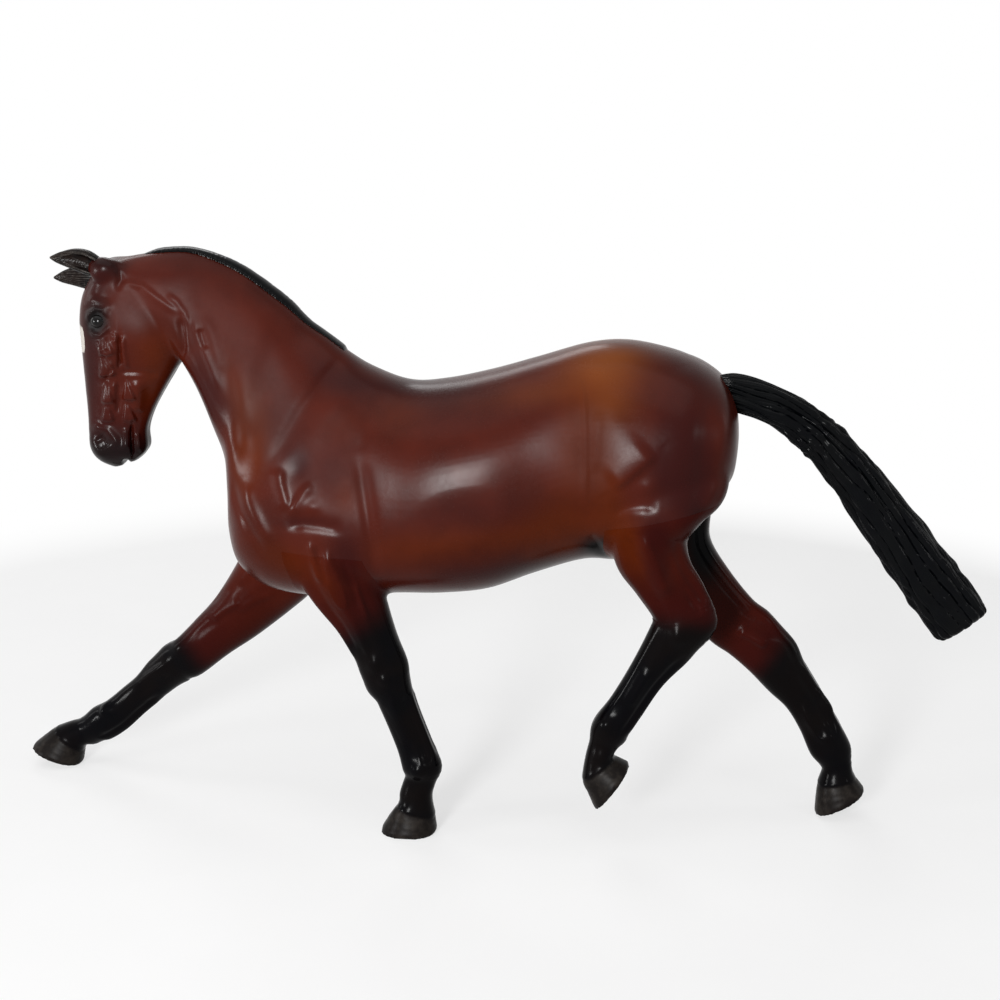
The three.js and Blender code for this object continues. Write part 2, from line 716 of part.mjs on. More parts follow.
// Painted plastic: bay on the body, black on the points, dark horn below.
const bay = { color: '#5e2616', roughness: 0.34, metalness: 0 };
const black = { color: '#14110f', roughness: 0.3, metalness: 0 };
const finishes = {
  body_shell_left: bay,
  body_shell_right: bay,
  foreleg_left: { ...black, color: '#2a1712' },
  foreleg_right: { ...black, color: '#2a1712' },
  hindleg_left: { ...black, color: '#2a1712' },
  hindleg_right: { ...black, color: '#2a1712' },
  tail: black,
  mane: black,
  ear_left: { ...bay, color: '#2b1512' },
  ear_right: { ...bay, color: '#2b1512' },
};

const figure = new THREE.Group();
for (const { name, made } of pieces) {
  const mesh = new THREE.Mesh(toGeometry(made), new THREE.MeshStandardMaterial(finishes[name]));
  mesh.name = name;
  figure.add(mesh);
}

// The origin lies on the ground under the middle of the figure's box.
const box = new THREE.Box3().setFromObject(figure);
const middle = box.getCenter(new THREE.Vector3());
figure.position.set(-middle.x, -middle.y, 0).addScaledVector(up, -box.min.z);

const horse = new THREE.Group();
horse.add(figure);

export default horse;
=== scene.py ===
# A toy farm animal: a bay horse at the trot, moulded in plastic and airbrushed.
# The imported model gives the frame; this script dresses it and lights it.
import math
import bpy
import bmesh
import numpy as np
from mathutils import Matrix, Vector


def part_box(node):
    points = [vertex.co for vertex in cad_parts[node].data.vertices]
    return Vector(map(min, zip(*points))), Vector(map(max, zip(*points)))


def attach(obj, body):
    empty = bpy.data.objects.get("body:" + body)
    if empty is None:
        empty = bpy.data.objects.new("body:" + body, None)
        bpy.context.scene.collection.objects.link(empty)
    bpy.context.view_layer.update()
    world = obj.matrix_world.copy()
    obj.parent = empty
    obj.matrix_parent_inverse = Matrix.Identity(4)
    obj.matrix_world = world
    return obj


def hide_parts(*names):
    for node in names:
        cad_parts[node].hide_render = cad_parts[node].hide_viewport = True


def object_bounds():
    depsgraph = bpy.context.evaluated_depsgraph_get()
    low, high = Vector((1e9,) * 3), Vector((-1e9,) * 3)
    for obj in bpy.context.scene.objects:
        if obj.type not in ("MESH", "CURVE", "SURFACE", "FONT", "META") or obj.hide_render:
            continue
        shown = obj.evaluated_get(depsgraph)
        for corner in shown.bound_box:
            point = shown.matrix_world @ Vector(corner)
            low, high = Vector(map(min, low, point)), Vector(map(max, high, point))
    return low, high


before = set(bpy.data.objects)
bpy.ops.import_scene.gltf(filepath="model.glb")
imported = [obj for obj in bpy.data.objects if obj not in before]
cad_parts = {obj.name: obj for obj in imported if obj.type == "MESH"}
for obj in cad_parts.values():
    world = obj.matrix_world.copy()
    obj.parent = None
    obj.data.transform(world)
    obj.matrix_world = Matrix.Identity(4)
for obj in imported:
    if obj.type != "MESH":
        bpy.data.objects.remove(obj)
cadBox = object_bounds()
mm = 0.001
turn = 2 * math.pi

# The photograph's camera, in the millimetres of the sculpt.
# The sculpt's own frame: the horse looks along -X, its left side is -Y, the ground is zero.
photo = {"distance": 520.0, "pitch": 16.0, "yaw": 6.0, "focal": 1961.3, "aim": (0.0, 0.0, 91.24),
         "middle": 500.0, "sensor": 36.0}


def cameraAxes():
    # back = (sin yaw cos pitch, -cos yaw cos pitch, sin pitch), right = -back x up, and the third
    # is square to both: a camera that looks down by the pitch, from the yaw towards +X
    e, a = math.radians(photo["pitch"]), math.radians(photo["yaw"])
    back = np.array([math.sin(a) * math.cos(e), -math.cos(a) * math.cos(e), math.sin(e)])
    right = np.cross(-back, [0, 0, 1])
    right /= np.linalg.norm(right)
    return back, right, np.cross(right, -back)


back, right, above = cameraAxes()
eyePoint = np.array(photo["aim"]) + photo["distance"] * back


def toPixels(points):
    # pinhole: middle + focal * (point seen along right and up) / depth
    v = points - eyePoint
    depth = v @ -back
    return np.stack([photo["middle"] + photo["focal"] * (v @ right) / depth,
                     photo["middle"] - photo["focal"] * (v @ above) / depth], axis=-1)


def fromPixel(u, v, y):
    # the point where the sight line of a pixel meets the plane of that y
    ray = -back * photo["focal"] + right * (u - photo["middle"]) - above * (v - photo["middle"])
    return eyePoint + ray * (y - eyePoint[1]) / ray[1]


# Sizes and tables, as in the part's source, in millimetres.
trunk = {"length": 136, "depth": 58, "width": 48, "belly": 66, "zeroShare": 0.544}
neck = {"reach": 46, "rise": 40, "width": 24, "alongShare": 0.147, "upShare": 0.845}
head = {"length": 58, "depth": 28, "width": 18.5}
hoof = {"length": 15.7, "width": 13.5, "height": 8}
roundShare = 0.889
trunkShares = [
    [1.000, 0.700, 1.002, 0.800, 0.22, 0.00], [0.992, 0.586, 0.996, 0.914, 0.50, 0.00],
    [0.965, 0.483, 0.972, 1.022, 0.73, 0.02], [0.919, 0.379, 0.919, 1.108, 0.88, 0.04],
    [0.860, 0.276, 0.860, 1.155, 0.94, 0.05], [0.787, 0.198, 0.787, 1.186, 0.94, 0.06],
    [0.713, 0.192, 0.713, 1.171, 0.92, 0.08], [0.618, 0.122, 0.618, 1.103, 0.96, 0.10],
    [0.529, 0.042, 0.529, 1.040, 1.00, 0.10], [0.441, 0.014, 0.441, 0.993, 1.00, 0.12],
    [0.360, 0.007, 0.368, 0.983, 0.96, 0.16], [0.279, -0.005, 0.294, 1.045, 0.91, 0.24],
    [0.176, -0.020, 0.250, 1.112, 0.87, 0.32], [0.088, 0.012, 0.213, 1.177, 0.81, 0.36],
    [0.034, 0.104, 0.173, 1.240, 0.72, 0.36], [0.014, 0.241, 0.138, 1.312, 0.62, 0.32]]
neckShares = [
    [0.395, -0.625, 0.141, 0.780, 1.12, 0.28], [0.403, -0.375, 0.278, 0.892, 0.97, 0.26],
    [0.470, -0.145, 0.420, 0.975, 0.86, 0.24], [0.550, 0.100, 0.587, 1.030, 0.78, 0.20],
    [0.655, 0.335, 0.757, 1.025, 0.72, 0.14], [0.740, 0.525, 0.907, 1.000, 0.66, 0.08],
    [0.826, 0.725, 1.020, 0.972, 0.50, 0.00]]
headShares = [
    [0.012, 0.100, -0.130, 0.34, 0.000], [0.078, 0.232, -0.320, 0.72, 0.000],
    [0.172, 0.355, -0.482, 0.90, 0.000], [0.276, 0.402, -0.592, 1.00, 0.000],
    [0.379, 0.404, -0.630, 0.97, 0.000], [0.491, 0.397, -0.550, 0.86, 0.000],
    [0.612, 0.389, -0.405, 0.73, 0.000], [0.724, 0.381, -0.279, 0.64, 0.000],
    [0.828, 0.381, -0.210, 0.62, 0.010], [0.905, 0.370, -0.204, 0.64, 0.025],
    [0.958, 0.290, -0.165, 0.50, 0.038], [0.990, 0.150, -0.070, 0.26, 0.032]]
hoofShares = [[-0.17, 1.03, 0.46, 0.65, 0.70], [-0.33, 0.56, 0.47, 0.36, 0.86],
              [-0.46, 0.13, 0.49, 0.09, 0.98], [-0.49, 0.00, 0.46, 0.00, 0.96]]
legs = {
    "foreleg_left": {
        "side": -1, "root": (0.228, 0.293, 0.563), "joint": 0.03, "lean": -20, "size": (20, 16),
        "sole": (23.8, 11.5, 0, 0), "rows": [
            [-0.36, -0.02, 0.80, 0.55], [-0.24, -0.02, 1.32, 0.88], [-0.12, -0.01, 1.52, 1.04],
            [0.00, 0.00, 1.38, 1.06], [0.16, 0.00, 0.97, 0.88], [0.27, -0.02, 0.77, 0.76],
            [0.36, -0.03, 0.68, 0.68], [0.45, -0.04, 0.62, 0.63], [0.53, -0.04, 0.59, 0.62],
            [0.59, -0.045, 0.51, 0.53], [0.66, -0.050, 0.48, 0.47], [0.77, -0.058, 0.48, 0.46],
            [0.85, -0.060, 0.52, 0.55], [0.90, -0.043, 0.45, 0.46], [0.95, -0.012, 0.45, 0.50]]},
    "foreleg_right": {
        "side": 1, "root": (0.103, 0.103, 0.563), "joint": 0.06, "lean": 0, "size": (20, 16),
        "sole": (134.0, 23.5, 0, 20), "rows": [
            [-0.34, 0.09, 0.80, 0.55], [-0.23, 0.05, 1.26, 0.88], [-0.12, 0.01, 1.46, 1.04],
            [0.00, 0.00, 1.32, 1.04], [0.10, -0.03, 1.06, 0.94], [0.27, -0.05, 0.80, 0.76],
            [0.39, -0.05, 0.68, 0.66], [0.50, -0.05, 0.62, 0.62], [0.55, -0.04, 0.56, 0.56],
            [0.63, -0.04, 0.51, 0.48], [0.73, -0.04, 0.48, 0.46], [0.82, -0.04, 0.50, 0.52],
            [0.88, -0.03, 0.52, 0.55], [0.93, -0.02, 0.43, 0.46], [0.96, -0.01, 0.42, 0.50]]},
    "hindleg_left": {
        "side": -1, "root": (0.853, 0.500, 0.604), "joint": 0.03, "lean": 25, "size": (20, 18),
        "sole": (-31.8, 14, 10.4, -54), "rows": [
            [-0.34, 0.01, 0.90, 0.55], [-0.22, 0.01, 1.50, 0.86], [-0.10, 0.01, 1.74, 1.02],
            [0.00, -0.01, 1.50, 0.98], [0.09, 0.010, 1.12, 0.88], [0.18, -0.020, 0.96, 0.76],
            [0.25, -0.075, 0.82, 0.64], [0.32, -0.14, 0.78, 0.55], [0.39, -0.18, 0.80, 0.53],
            [0.46, -0.16, 0.68, 0.50], [0.61, -0.098, 0.50, 0.41], [0.75, -0.050, 0.47, 0.40],
            [0.85, -0.011, 0.49, 0.48], [0.92, -0.001, 0.40, 0.41]]},
    "hindleg_right": {
        "side": 1, "root": (0.853, 0.448, 0.604), "joint": 0.02, "lean": -20, "size": (20, 18),
        "sole": (-93.8, 11, 0, -29), "rows": [
            [-0.27, -0.16, 0.90, 0.55], [-0.18, -0.10, 1.48, 0.86], [-0.08, -0.04, 1.62, 1.02],
            [0.00, 0.01, 1.46, 0.98], [0.10, 0.020, 1.12, 0.90], [0.19, 0.045, 0.88, 0.80],
            [0.31, 0.040, 0.80, 0.68], [0.43, 0.025, 0.82, 0.58], [0.50, -0.003, 0.80, 0.54],
            [0.59, -0.022, 0.71, 0.52], [0.67, -0.030, 0.61, 0.48], [0.74, -0.038, 0.53, 0.42],
            [0.82, -0.037, 0.52, 0.41], [0.90, -0.030, 0.55, 0.48], [0.96, -0.022, 0.43, 0.42]]}}
rootInShare = 1.3
tail = {"along": 0.985, "up": 0.970, "reach": 63, "drop": 61, "depth": 16.5, "width": 9, "rows": [
    [-0.085, 0.000, 0.42, 0.56], [0.000, 0.004, 0.60, 0.74], [0.130, 0.040, 0.60, 0.84],
    [0.237, 0.093, 0.64, 0.92], [0.330, 0.162, 0.69, 0.98], [0.413, 0.240, 0.74, 1.00],
    [0.560, 0.422, 0.81, 1.00], [0.767, 0.705, 0.94, 1.00], [0.880, 0.857, 0.98, 0.98],
    [0.998, 1.016, 0.97, 0.92]]}
ears = {"length": 14.4, "depth": 6.2, "width": 4.6, "rows": [
    [-0.10, 0.00, 0.62, 0.80], [0.10, 0.02, 0.86, 0.96], [0.34, 0.06, 1.00, 1.00],
    [0.58, 0.06, 0.84, 0.80], [0.80, 0.02, 0.52, 0.54], [0.94, -0.01, 0.24, 0.30],
    [1.00, -0.02, 0.07, 0.10]],
    "ear_left": (-1, 13, 0.055, 0.110, 0.55), "ear_right": (1, 6, 0.146, 0.200, 0.55)}
mane = {"thickness": 2.0, "under": 4, "rows": [
    [-0.02, 0.12, 0.36], [-0.03, 0.22, 0.42], [-0.04, 0.30, 0.62], [-0.05, 0.35, 1.00],
    [-0.06, 0.38, 1.05], [-0.06, 0.40, 1.00], [-0.06, 0.41, 0.85], [-0.05, 0.41, 0.70],
    [-0.05, 0.38, 0.60], [-0.04, 0.30, 0.50]]}


def trunkPoint(along, up):
    # x = (along - zero share) * length, z = belly + up * depth
    return (along - trunk["zeroShare"]) * trunk["length"], trunk["belly"] + up * trunk["depth"]


def neckPoint(forward, up):
    # from the neck's root on the trunk: x - forward * reach, z + up * rise
    x, z = trunkPoint(neck["alongShare"], neck["upShare"])
    return x - forward * neck["reach"], z + up * neck["rise"]


def headPoint(down, forward):
    # from the neck's upper end: x - forward * depth, z - down * length
    x, z = neckPoint(1, 1)
    return x - forward * head["depth"], z - down * head["length"]


def between(rows, steps):
    # Catmull-Rom through the rows of a table, with so many steps from one row to the next
    rows = np.array(rows, float)
    i = np.arange(len(rows) - 1)
    a, b = rows[np.maximum(i - 1, 0)][:, None], rows[i][:, None]
    c, d = rows[i + 1][:, None], rows[np.minimum(i + 2, len(rows) - 1)][:, None]
    t = (np.arange(steps) / steps)[None, :, None]
    curve = 0.5 * (2 * b + (c - a) * t + (2 * a - 5 * b + 4 * c - d) * t ** 2
                   + (3 * b - a - 3 * c + d) * t ** 3)
    return np.vstack([curve.reshape(-1, rows.shape[1]), rows[-1:]])


def sections(rows, sides, grow=0.0):
    # rows of (px, pz, qx, qz, y, half width, narrowing): a rounded ring of points about each,
    # middle + half depth * sign(cos)|cos|^r along p to q, y + half width * sign(sin)|sin|^r across
    angle = np.arange(sides) / sides * turn
    return ringPoints(rows, np.broadcast_to(angle, (len(rows), sides)), grow)


def ringPoints(rows, angle, grow=0.0):
    # the same sections at any angles, each half grown by so much; the width is narrowed towards q
    # by 1 - narrowing * sign(cos)|cos|^r
    up, out = np.cos(angle), np.sin(angle)
    upPart = np.sign(up) * np.abs(up) ** roundShare
    outPart = np.sign(out) * np.abs(out) ** roundShare
    p, q = rows[:, 0:2], rows[:, 2:4]
    half = (q - p) / 2
    reach = 1 + grow / np.maximum(np.linalg.norm(half, axis=1), 1e-6)[:, None]
    middle = (p + q) / 2
    return np.stack([middle[:, 0:1] + half[:, 0:1] * reach * upPart,
                     rows[:, 4:5] + (rows[:, 5:6] + grow) * outPart * (1 - rows[:, 6:7] * upPart),
                     middle[:, 1:2] + half[:, 1:2] * reach * upPart], axis=-1)


def closedSkin(points):
    # a grid of rings joined ring to ring, with a fan to the middle of each end ring
    n, m = points.shape[:2]
    i, k = np.meshgrid(np.arange(n - 1), np.arange(m), indexing="ij")
    a, b = i * m + k, i * m + (k + 1) % m
    quads = np.stack([a, b, b + m, a + m], axis=-1).reshape(-1, 4)
    k = np.arange(m)
    nextK = (k + 1) % m
    first, last = np.full(m, n * m), np.full(m, n * m + 1)
    fans = np.vstack([np.stack([nextK, k, first], -1),
                      np.stack([(n - 1) * m + k, (n - 1) * m + nextK, last], -1)])
    verts = np.vstack([points.reshape(-1, 3), points[0].mean(0), points[-1].mean(0)])
    return verts, quads, fans


def bodyRows(steps):
    # each row's shares times the sizes of the trunk or the neck, with a curve through them
    rows = [[*trunkPoint(r[0], r[1]), *trunkPoint(r[2], r[3]), 0, r[4] * trunk["width"] / 2, r[5]]
            for r in trunkShares]
    rows += [[*neckPoint(r[0], r[1]), *neckPoint(r[2], r[3]), 0, r[4] * neck["width"] / 2, r[5]]
             for r in neckShares]
    return between(rows, steps)


def headRows(steps):
    # each row's shares times the sizes of the head; the lower end is set back by the fifth share
    return between([[*headPoint(r[0], r[1]), *headPoint(r[0] - r[4], r[2]), 0,
                     r[3] * head["width"] / 2, 0] for r in headShares], steps)


def hoofRows(leg):
    # rows of the hoof: (x cos + z sin, z cos - x sin) of its tilt, set down where the sole stands
    ahead, out, lift, tilt = leg["sole"]
    c, s = math.cos(math.radians(tilt)), math.sin(math.radians(tilt))
    r = np.array(hoofShares)
    x, z = r[:, [0, 2]] * hoof["length"], r[:, [1, 3]] * hoof["height"]
    px, pz = x * c + z * s, z * c - x * s
    pz = pz - pz[-1].min() + lift
    return np.stack([px[:, 0] - ahead, pz[:, 0], px[:, 1] - ahead, pz[:, 1],
                     r[:, 4] * hoof["width"] / 2], axis=1)


def legPlan(name, steps):
    # a leg's rows are told along the chord from its root to its coronet, bowed to the front:
    # centre = root + along * chord + bow * chord turned a quarter, half sizes = shares * size / 2
    leg = legs[name]
    root = np.array(trunkPoint(*leg["root"][:2]))
    rootOut = leg["root"][2] * trunk["width"] / 2
    hoofPart = hoofRows(leg)
    coronet = (hoofPart[0, 0:2] + hoofPart[0, 2:4]) / 2
    way = coronet - root
    r = np.array(leg["rows"])
    centre = root + r[:, 0:1] * way + r[:, 1:2] * np.array([way[1], -way[0]])
    line = np.vstack([centre[:1], centre, coronet])
    run = line[2:] - line[:-2]
    run /= np.linalg.norm(run, axis=1)[:, None]
    front = np.stack([run[:, 1], -run[:, 0]], 1) * (r[:, 2:3] * leg["size"][0] / 2)
    soleOut = leg["sole"][1]
    out = np.where(r[:, 0] > 0, rootOut + (soleOut - rootOut) * r[:, 0],
                   rootOut * (1 + rootInShare * r[:, 0]))
    upper = np.column_stack([centre + front, centre - front, leg["side"] * out,
                             r[:, 3] * leg["size"][1] / 2, 0 * out])
    none = np.zeros(len(hoofPart))
    lower = np.column_stack([hoofPart[:, :4], none + leg["side"] * soleOut, hoofPart[:, 4], none])
    down = way / np.linalg.norm(way)
    lean = math.radians(leg["lean"])
    down = np.array([down[0] * math.cos(lean) - down[1] * math.sin(lean), 0,
                     down[0] * math.sin(lean) + down[1] * math.cos(lean)])
    joint = root + way * leg["joint"]
    return (between(np.vstack([upper, lower]), steps),
            np.array([joint[0], leg["side"] * rootOut, joint[1]]), down, hoofPart)


# The sculpt's frame is moved so that the figure's box stands centred on the origin.
toeX = legPlan("foreleg_right", 1)[3][:, 0].min()
shift = np.array([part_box("foreleg_right")[0].x / mm - toeX,
                  (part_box("tail")[0].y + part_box("tail")[1].y) / 2 / mm, 0.0])
print("sculpt to frame shift in mm", shift.round(3))

# Helpers for meshes.
def newObject(name, verts, *faceSets):
    # a mesh object from rows of points and arrays of faces
    mesh = bpy.data.meshes.new(name)
    mesh.from_pydata(verts.tolist(), [], [f for faces in faceSets for f in faces.tolist()])
    mesh.update()
    made = bpy.data.objects.new(name, mesh)
    bpy.context.scene.collection.objects.link(made)
    return made


def joined(name, skins):
    # several closed skins as the one mesh
    verts, quads, fans, start = [], [], [], 0
    for v, q, f in skins:
        verts.append(v)
        quads.append(q + start)
        fans.append(f + start)
        start += len(v)
    return newObject(name, np.vstack(verts), np.vstack(quads), np.vstack(fans))


def applied(obj):
    # the object with its modifiers made part of its mesh
    evaluated = obj.evaluated_get(bpy.context.evaluated_depsgraph_get())
    mesh = bpy.data.meshes.new_from_object(evaluated)
    old = obj.data
    obj.modifiers.clear()
    obj.data = mesh
    bpy.data.meshes.remove(old)
    return obj


def turnedOut(obj):
    # faces made to point outwards
    bm = bmesh.new()
    bm.from_mesh(obj.data)
    bmesh.ops.recalc_face_normals(bm, faces=bm.faces)
    if bm.calc_volume(signed=True) < 0:
        bmesh.ops.reverse_faces(bm, faces=bm.faces)
    bm.to_mesh(obj.data)
    bm.free()
    return obj


def carve(obj, operation, cutter):
    # one boolean of closed solids, made part of the mesh, and the cutter is gone
    modifier = obj.modifiers.new(operation, "BOOLEAN")
    modifier.operation = operation
    modifier.solver = "MANIFOLD"
    modifier.object = cutter
    applied(obj)
    bpy.data.objects.remove(cutter)
    return obj


def remeshed(obj, voxel):
    # an even skin over the whole, in voxels of that size
    remesh = obj.modifiers.new("even", "REMESH")
    remesh.mode = "VOXEL"
    remesh.voxel_size = voxel
    return applied(obj)


def places(obj):
    # the mesh's points as rows of x, y, z
    co = np.empty(len(obj.data.vertices) * 3, np.float32)
    obj.data.vertices.foreach_get("co", co)
    return co.reshape(-1, 3).astype(float)


def setPlaces(obj, verts):
    # the mesh's points put to rows of x, y, z
    obj.data.vertices.foreach_set("co", verts.astype(np.float32).ravel())
    obj.data.update()


def normals(obj):
    # the way out of the surface at each of the mesh's points
    n = np.empty(len(obj.data.vertices) * 3, np.float32)
    obj.data.vertex_normals.foreach_get("vector", n)
    return n.reshape(-1, 3).astype(float)


def relax(obj, weight, rounds, back=0.0):
    # each point moves by half its weight towards the mean of its neighbours, and then, to keep
    # the form's size, away from it by back times its weight
    edges = np.empty(len(obj.data.edges) * 2, np.int32)
    obj.data.edges.foreach_get("vertices", edges)
    a, b = edges[0::2], edges[1::2]
    verts = places(obj)
    count = np.bincount(a, minlength=len(verts)) + np.bincount(b, minlength=len(verts))
    count = np.maximum(count, 1)[:, None]
    for _ in range(rounds):
        for share in (0.5, -back) if back else (0.5,):
            total = np.stack([np.bincount(a, verts[b, c], len(verts))
                              + np.bincount(b, verts[a, c], len(verts)) for c in range(3)], 1)
            verts += share * weight[:, None] * (total / count - verts)
    setPlaces(obj, verts)


def alongLine(uv, line):
    # nearest distance to a polyline, its signed side, and the share of its length there
    line = np.array(line, float)
    best = np.full(len(uv), 1e9)
    signed, share = np.zeros(len(uv)), np.zeros(len(uv))
    lengths = np.linalg.norm(np.diff(line, axis=0), axis=1)
    start = np.concatenate([[0], np.cumsum(lengths)]) / lengths.sum()
    for k, (a, b) in enumerate(zip(line[:-1], line[1:])):
        way = b - a
        t = np.clip(((uv - a) @ way) / (way @ way), 0, 1)
        off = uv - a - t[:, None] * way
        d = np.hypot(off[:, 0], off[:, 1])
        near = d < best
        best = np.where(near, d, best)
        signed = np.where(near, np.sign(way[0] * off[:, 1] - way[1] * off[:, 0]) * d, signed)
        share = np.where(near, start[k] + t * lengths[k] / lengths.sum(), share)
    return best, signed, share


def stroke(uv, line, width, fade=0.22, tip=0.1):
    # exp(-(distance / width) ^ 2), fading at both ends over a share of the length; a pair of
    # widths is for the side to the left of the line's way and for the side to the right
    left, right = width if isinstance(width, tuple) else (width, width)
    reach = 4 * max(left, right)
    low, high = np.min(line, 0) - reach, np.max(line, 0) + reach
    near = np.all((uv > low) & (uv < high), axis=1)
    out = np.zeros(len(uv))
    if near.any():
        d, signed, t = alongLine(uv[near], line)
        ends = np.clip(np.minimum(t, 1 - t) / fade, 0, 1)
        out[near] = np.exp(-(d / np.where(signed > 0, right, left)) ** 2)
        out[near] *= tip + (1 - tip) * smooth(ends)
    return out


def blob(uv, u, v, ru, rv, angle=0.0):
    # a round hill: exp of minus the squared distance in an ellipse turned by the angle
    c, s = math.cos(math.radians(angle)), math.sin(math.radians(angle))
    du, dv = uv[:, 0] - u, uv[:, 1] - v
    return np.exp(-((du * c + dv * s) / ru) ** 2 - ((dv * c - du * s) / rv) ** 2)


def smooth(t):
    # 3 t^2 - 2 t^3, with t held between 0 and 1
    t = np.clip(t, 0, 1)
    return t * t * (3 - 2 * t)


def linear(hexCode):
    # sRGB hex to linear: c / 12.92 up to 0.04045, and ((c + 0.055) / 1.055) ^ 2.4 above it
    c = np.array([int(hexCode[i:i + 2], 16) / 255 for i in (1, 3, 5)])
    c = np.where(c <= 0.04045, c / 12.92, ((c + 0.055) / 1.055) ** 2.4)
    return (*c.tolist(), 1.0)


# Kinds of node: Blender's type, the sockets that take the inputs in turn, the output, the settings.
kinds = {
    "place": ("ShaderNodeTexCoord", (), "Object", {}),
    "layer": ("ShaderNodeAttribute", (), "Fac", {}),
    "cameraRay": ("ShaderNodeLightPath", (), "Is Camera Ray", {}),
    "glossyRay": ("ShaderNodeLightPath", (), "Is Glossy Ray", {}),
    "passingRay": ("ShaderNodeLightPath", (), "Is Transmission Ray", {}),
    "diffuseRay": ("ShaderNodeLightPath", (), "Is Diffuse Ray", {}),
    "noise": ("ShaderNodeTexNoise", ("Vector", "Scale", "Detail", "Roughness"), 0, {}),
    "cells": ("ShaderNodeTexVoronoi", ("Vector", "Scale"), "Distance", {}),
    "mix": ("ShaderNodeMix", (0, 6, 7), 2, {"data_type": "RGBA"}),
    "add": ("ShaderNodeMath", (0, 1), 0, {"operation": "ADD"}),
    "subtract": ("ShaderNodeMath", (0, 1), 0, {"operation": "SUBTRACT"}),
    "multiply": ("ShaderNodeMath", (0, 1), 0, {"operation": "MULTIPLY"}),
    "larger": ("ShaderNodeMath", (0, 1), 0, {"operation": "MAXIMUM"}),
    "length": ("ShaderNodeVectorMath", (0,), "Value", {"operation": "LENGTH"}),
    "range": ("ShaderNodeMapRange", (0, 1, 2, 3, 4), 0, {"interpolation_type": "SMOOTHSTEP"}),
    "bump": ("ShaderNodeBump", ("Height", "Strength", "Distance"), 0, {}),
    "backdrop": ("ShaderNodeBackground", ("Color", "Strength"), 0, {}),
    "shining": ("ShaderNodeEmission", ("Color", "Strength"), 0, {}),
    "either": ("ShaderNodeMixShader", (0, 1, 2), 0, {})}


def node(tree, kind, *inputs, **settings):
    # adds a node, links those inputs that are sockets, sets the others, and gives its output
    typeName, sockets, output, own = kinds[kind]
    made = tree.nodes.new(typeName)
    for key, value in {**own, **settings}.items():
        setattr(made, key, value)
    for value, socket in zip(inputs, sockets):
        if isinstance(value, bpy.types.NodeSocket):
            tree.links.new(value, made.inputs[socket])
        else:
            made.inputs[socket].default_value = value
    return made.outputs[output]


def shade(name):
    # a new material with its Principled shader at hand
    material = bpy.data.materials.new(name)
    material.use_nodes = True
    return material, material.node_tree, material.node_tree.nodes["Principled BSDF"]


# Camera, lamps and floor.
camera = bpy.data.objects.new("camera", bpy.data.cameras.new("camera"))
camera.data.sensor_width = photo["sensor"]
camera.data.lens = photo["focal"] * photo["sensor"] / (2 * photo["middle"])
camera.data.clip_start = 0.01
camera.location = Vector((eyePoint + shift) * mm)
camera.rotation_euler = Vector(-back).to_track_quat("-Z", "Y").to_euler()
bpy.context.scene.collection.objects.link(camera)
bpy.context.scene.camera = camera
bpy.context.scene.view_settings.view_transform = "Standard"

lights = {
    "key": {"at": (-0.20, -0.82, 0.25), "to": (0.0, 0.0, 0.09), "size": (0.16, 0.26), "watts": 7.8},
    "side": {"at": (-0.78, -0.44, 0.09), "to": (-0.06, 0.0, 0.10), "size": (0.11, 0.20), "watts": 3.2},
    "hind": {"at": (0.69, -0.50, 0.30), "to": (0.04, 0.0, 0.08), "size": (0.05, 0.05), "watts": 0.3},
    "front": {"at": (-0.80, 0.10, 0.30), "to": (0.0, 0.0, 0.08), "size": (0.10, 0.3), "watts": 0.5},
    "rear": {"at": (0.80, 0.10, 0.35), "to": (0.0, 0.0, 0.09), "size": (0.10, 0.3), "watts": 0.5},
    "rim": {"at": (-0.26, 0.62, 0.60), "to": (0.0, 0.0, 0.10), "size": (0.4, 0.2), "watts": 1.2},
    "top": {"at": (-0.10, -0.24, 0.90), "to": (0.0, 0.0, 0.05), "size": (1.3, 0.8), "watts": 3.4}}
for name, plan in lights.items():
    lamp = bpy.data.lights.new(name, "AREA")
    lamp.shape = "RECTANGLE"
    lamp.size, lamp.size_y = plan["size"]
    lamp.energy = plan["watts"]
    made = bpy.data.objects.new(name, lamp)
    made.location = plan["at"]
    made.rotation_euler = (Vector(plan["to"]) - Vector(plan["at"])).to_track_quat("-Z", "Y").to_euler()
    bpy.context.scene.collection.objects.link(made)

# The backdrop is white to the camera and in gloss, and dim to what it lights. The floor keeps
# the shadow near the figure and is white beyond it.
studio = {"white": (1, 1, 1, 1), "ambient": 0.09, "floor": 60.0, "shadowReach": (0.20, 0.34), "lit": 0.62,
          "card": ("#f7f7f7", "#f9f9f9"), "bounce": "#404040", "grain": (40.0, 3.0), "grained": (0.3, 0.7),
          "rough": 0.9, "specular": 0.1}
world = bpy.data.worlds.new("studio")
world.use_nodes = True
bpy.context.scene.world = world
tree = world.node_tree
seen = node(tree, "larger", node(tree, "cameraRay"),
            node(tree, "larger", node(tree, "glossyRay"), node(tree, "passingRay")))
plain = tree.nodes["Background"]
plain.inputs["Color"].default_value = studio["white"]
plain.inputs["Strength"].default_value = studio["ambient"]
tree.links.new(node(tree, "either", seen, plain.outputs[0], node(tree, "backdrop", studio["white"], 1.0)),
               tree.nodes["World Output"].inputs[0])

bpy.ops.mesh.primitive_plane_add(size=studio["floor"], location=(0, 0, 0))
floor = bpy.context.object
floor.name = "studio_floor"
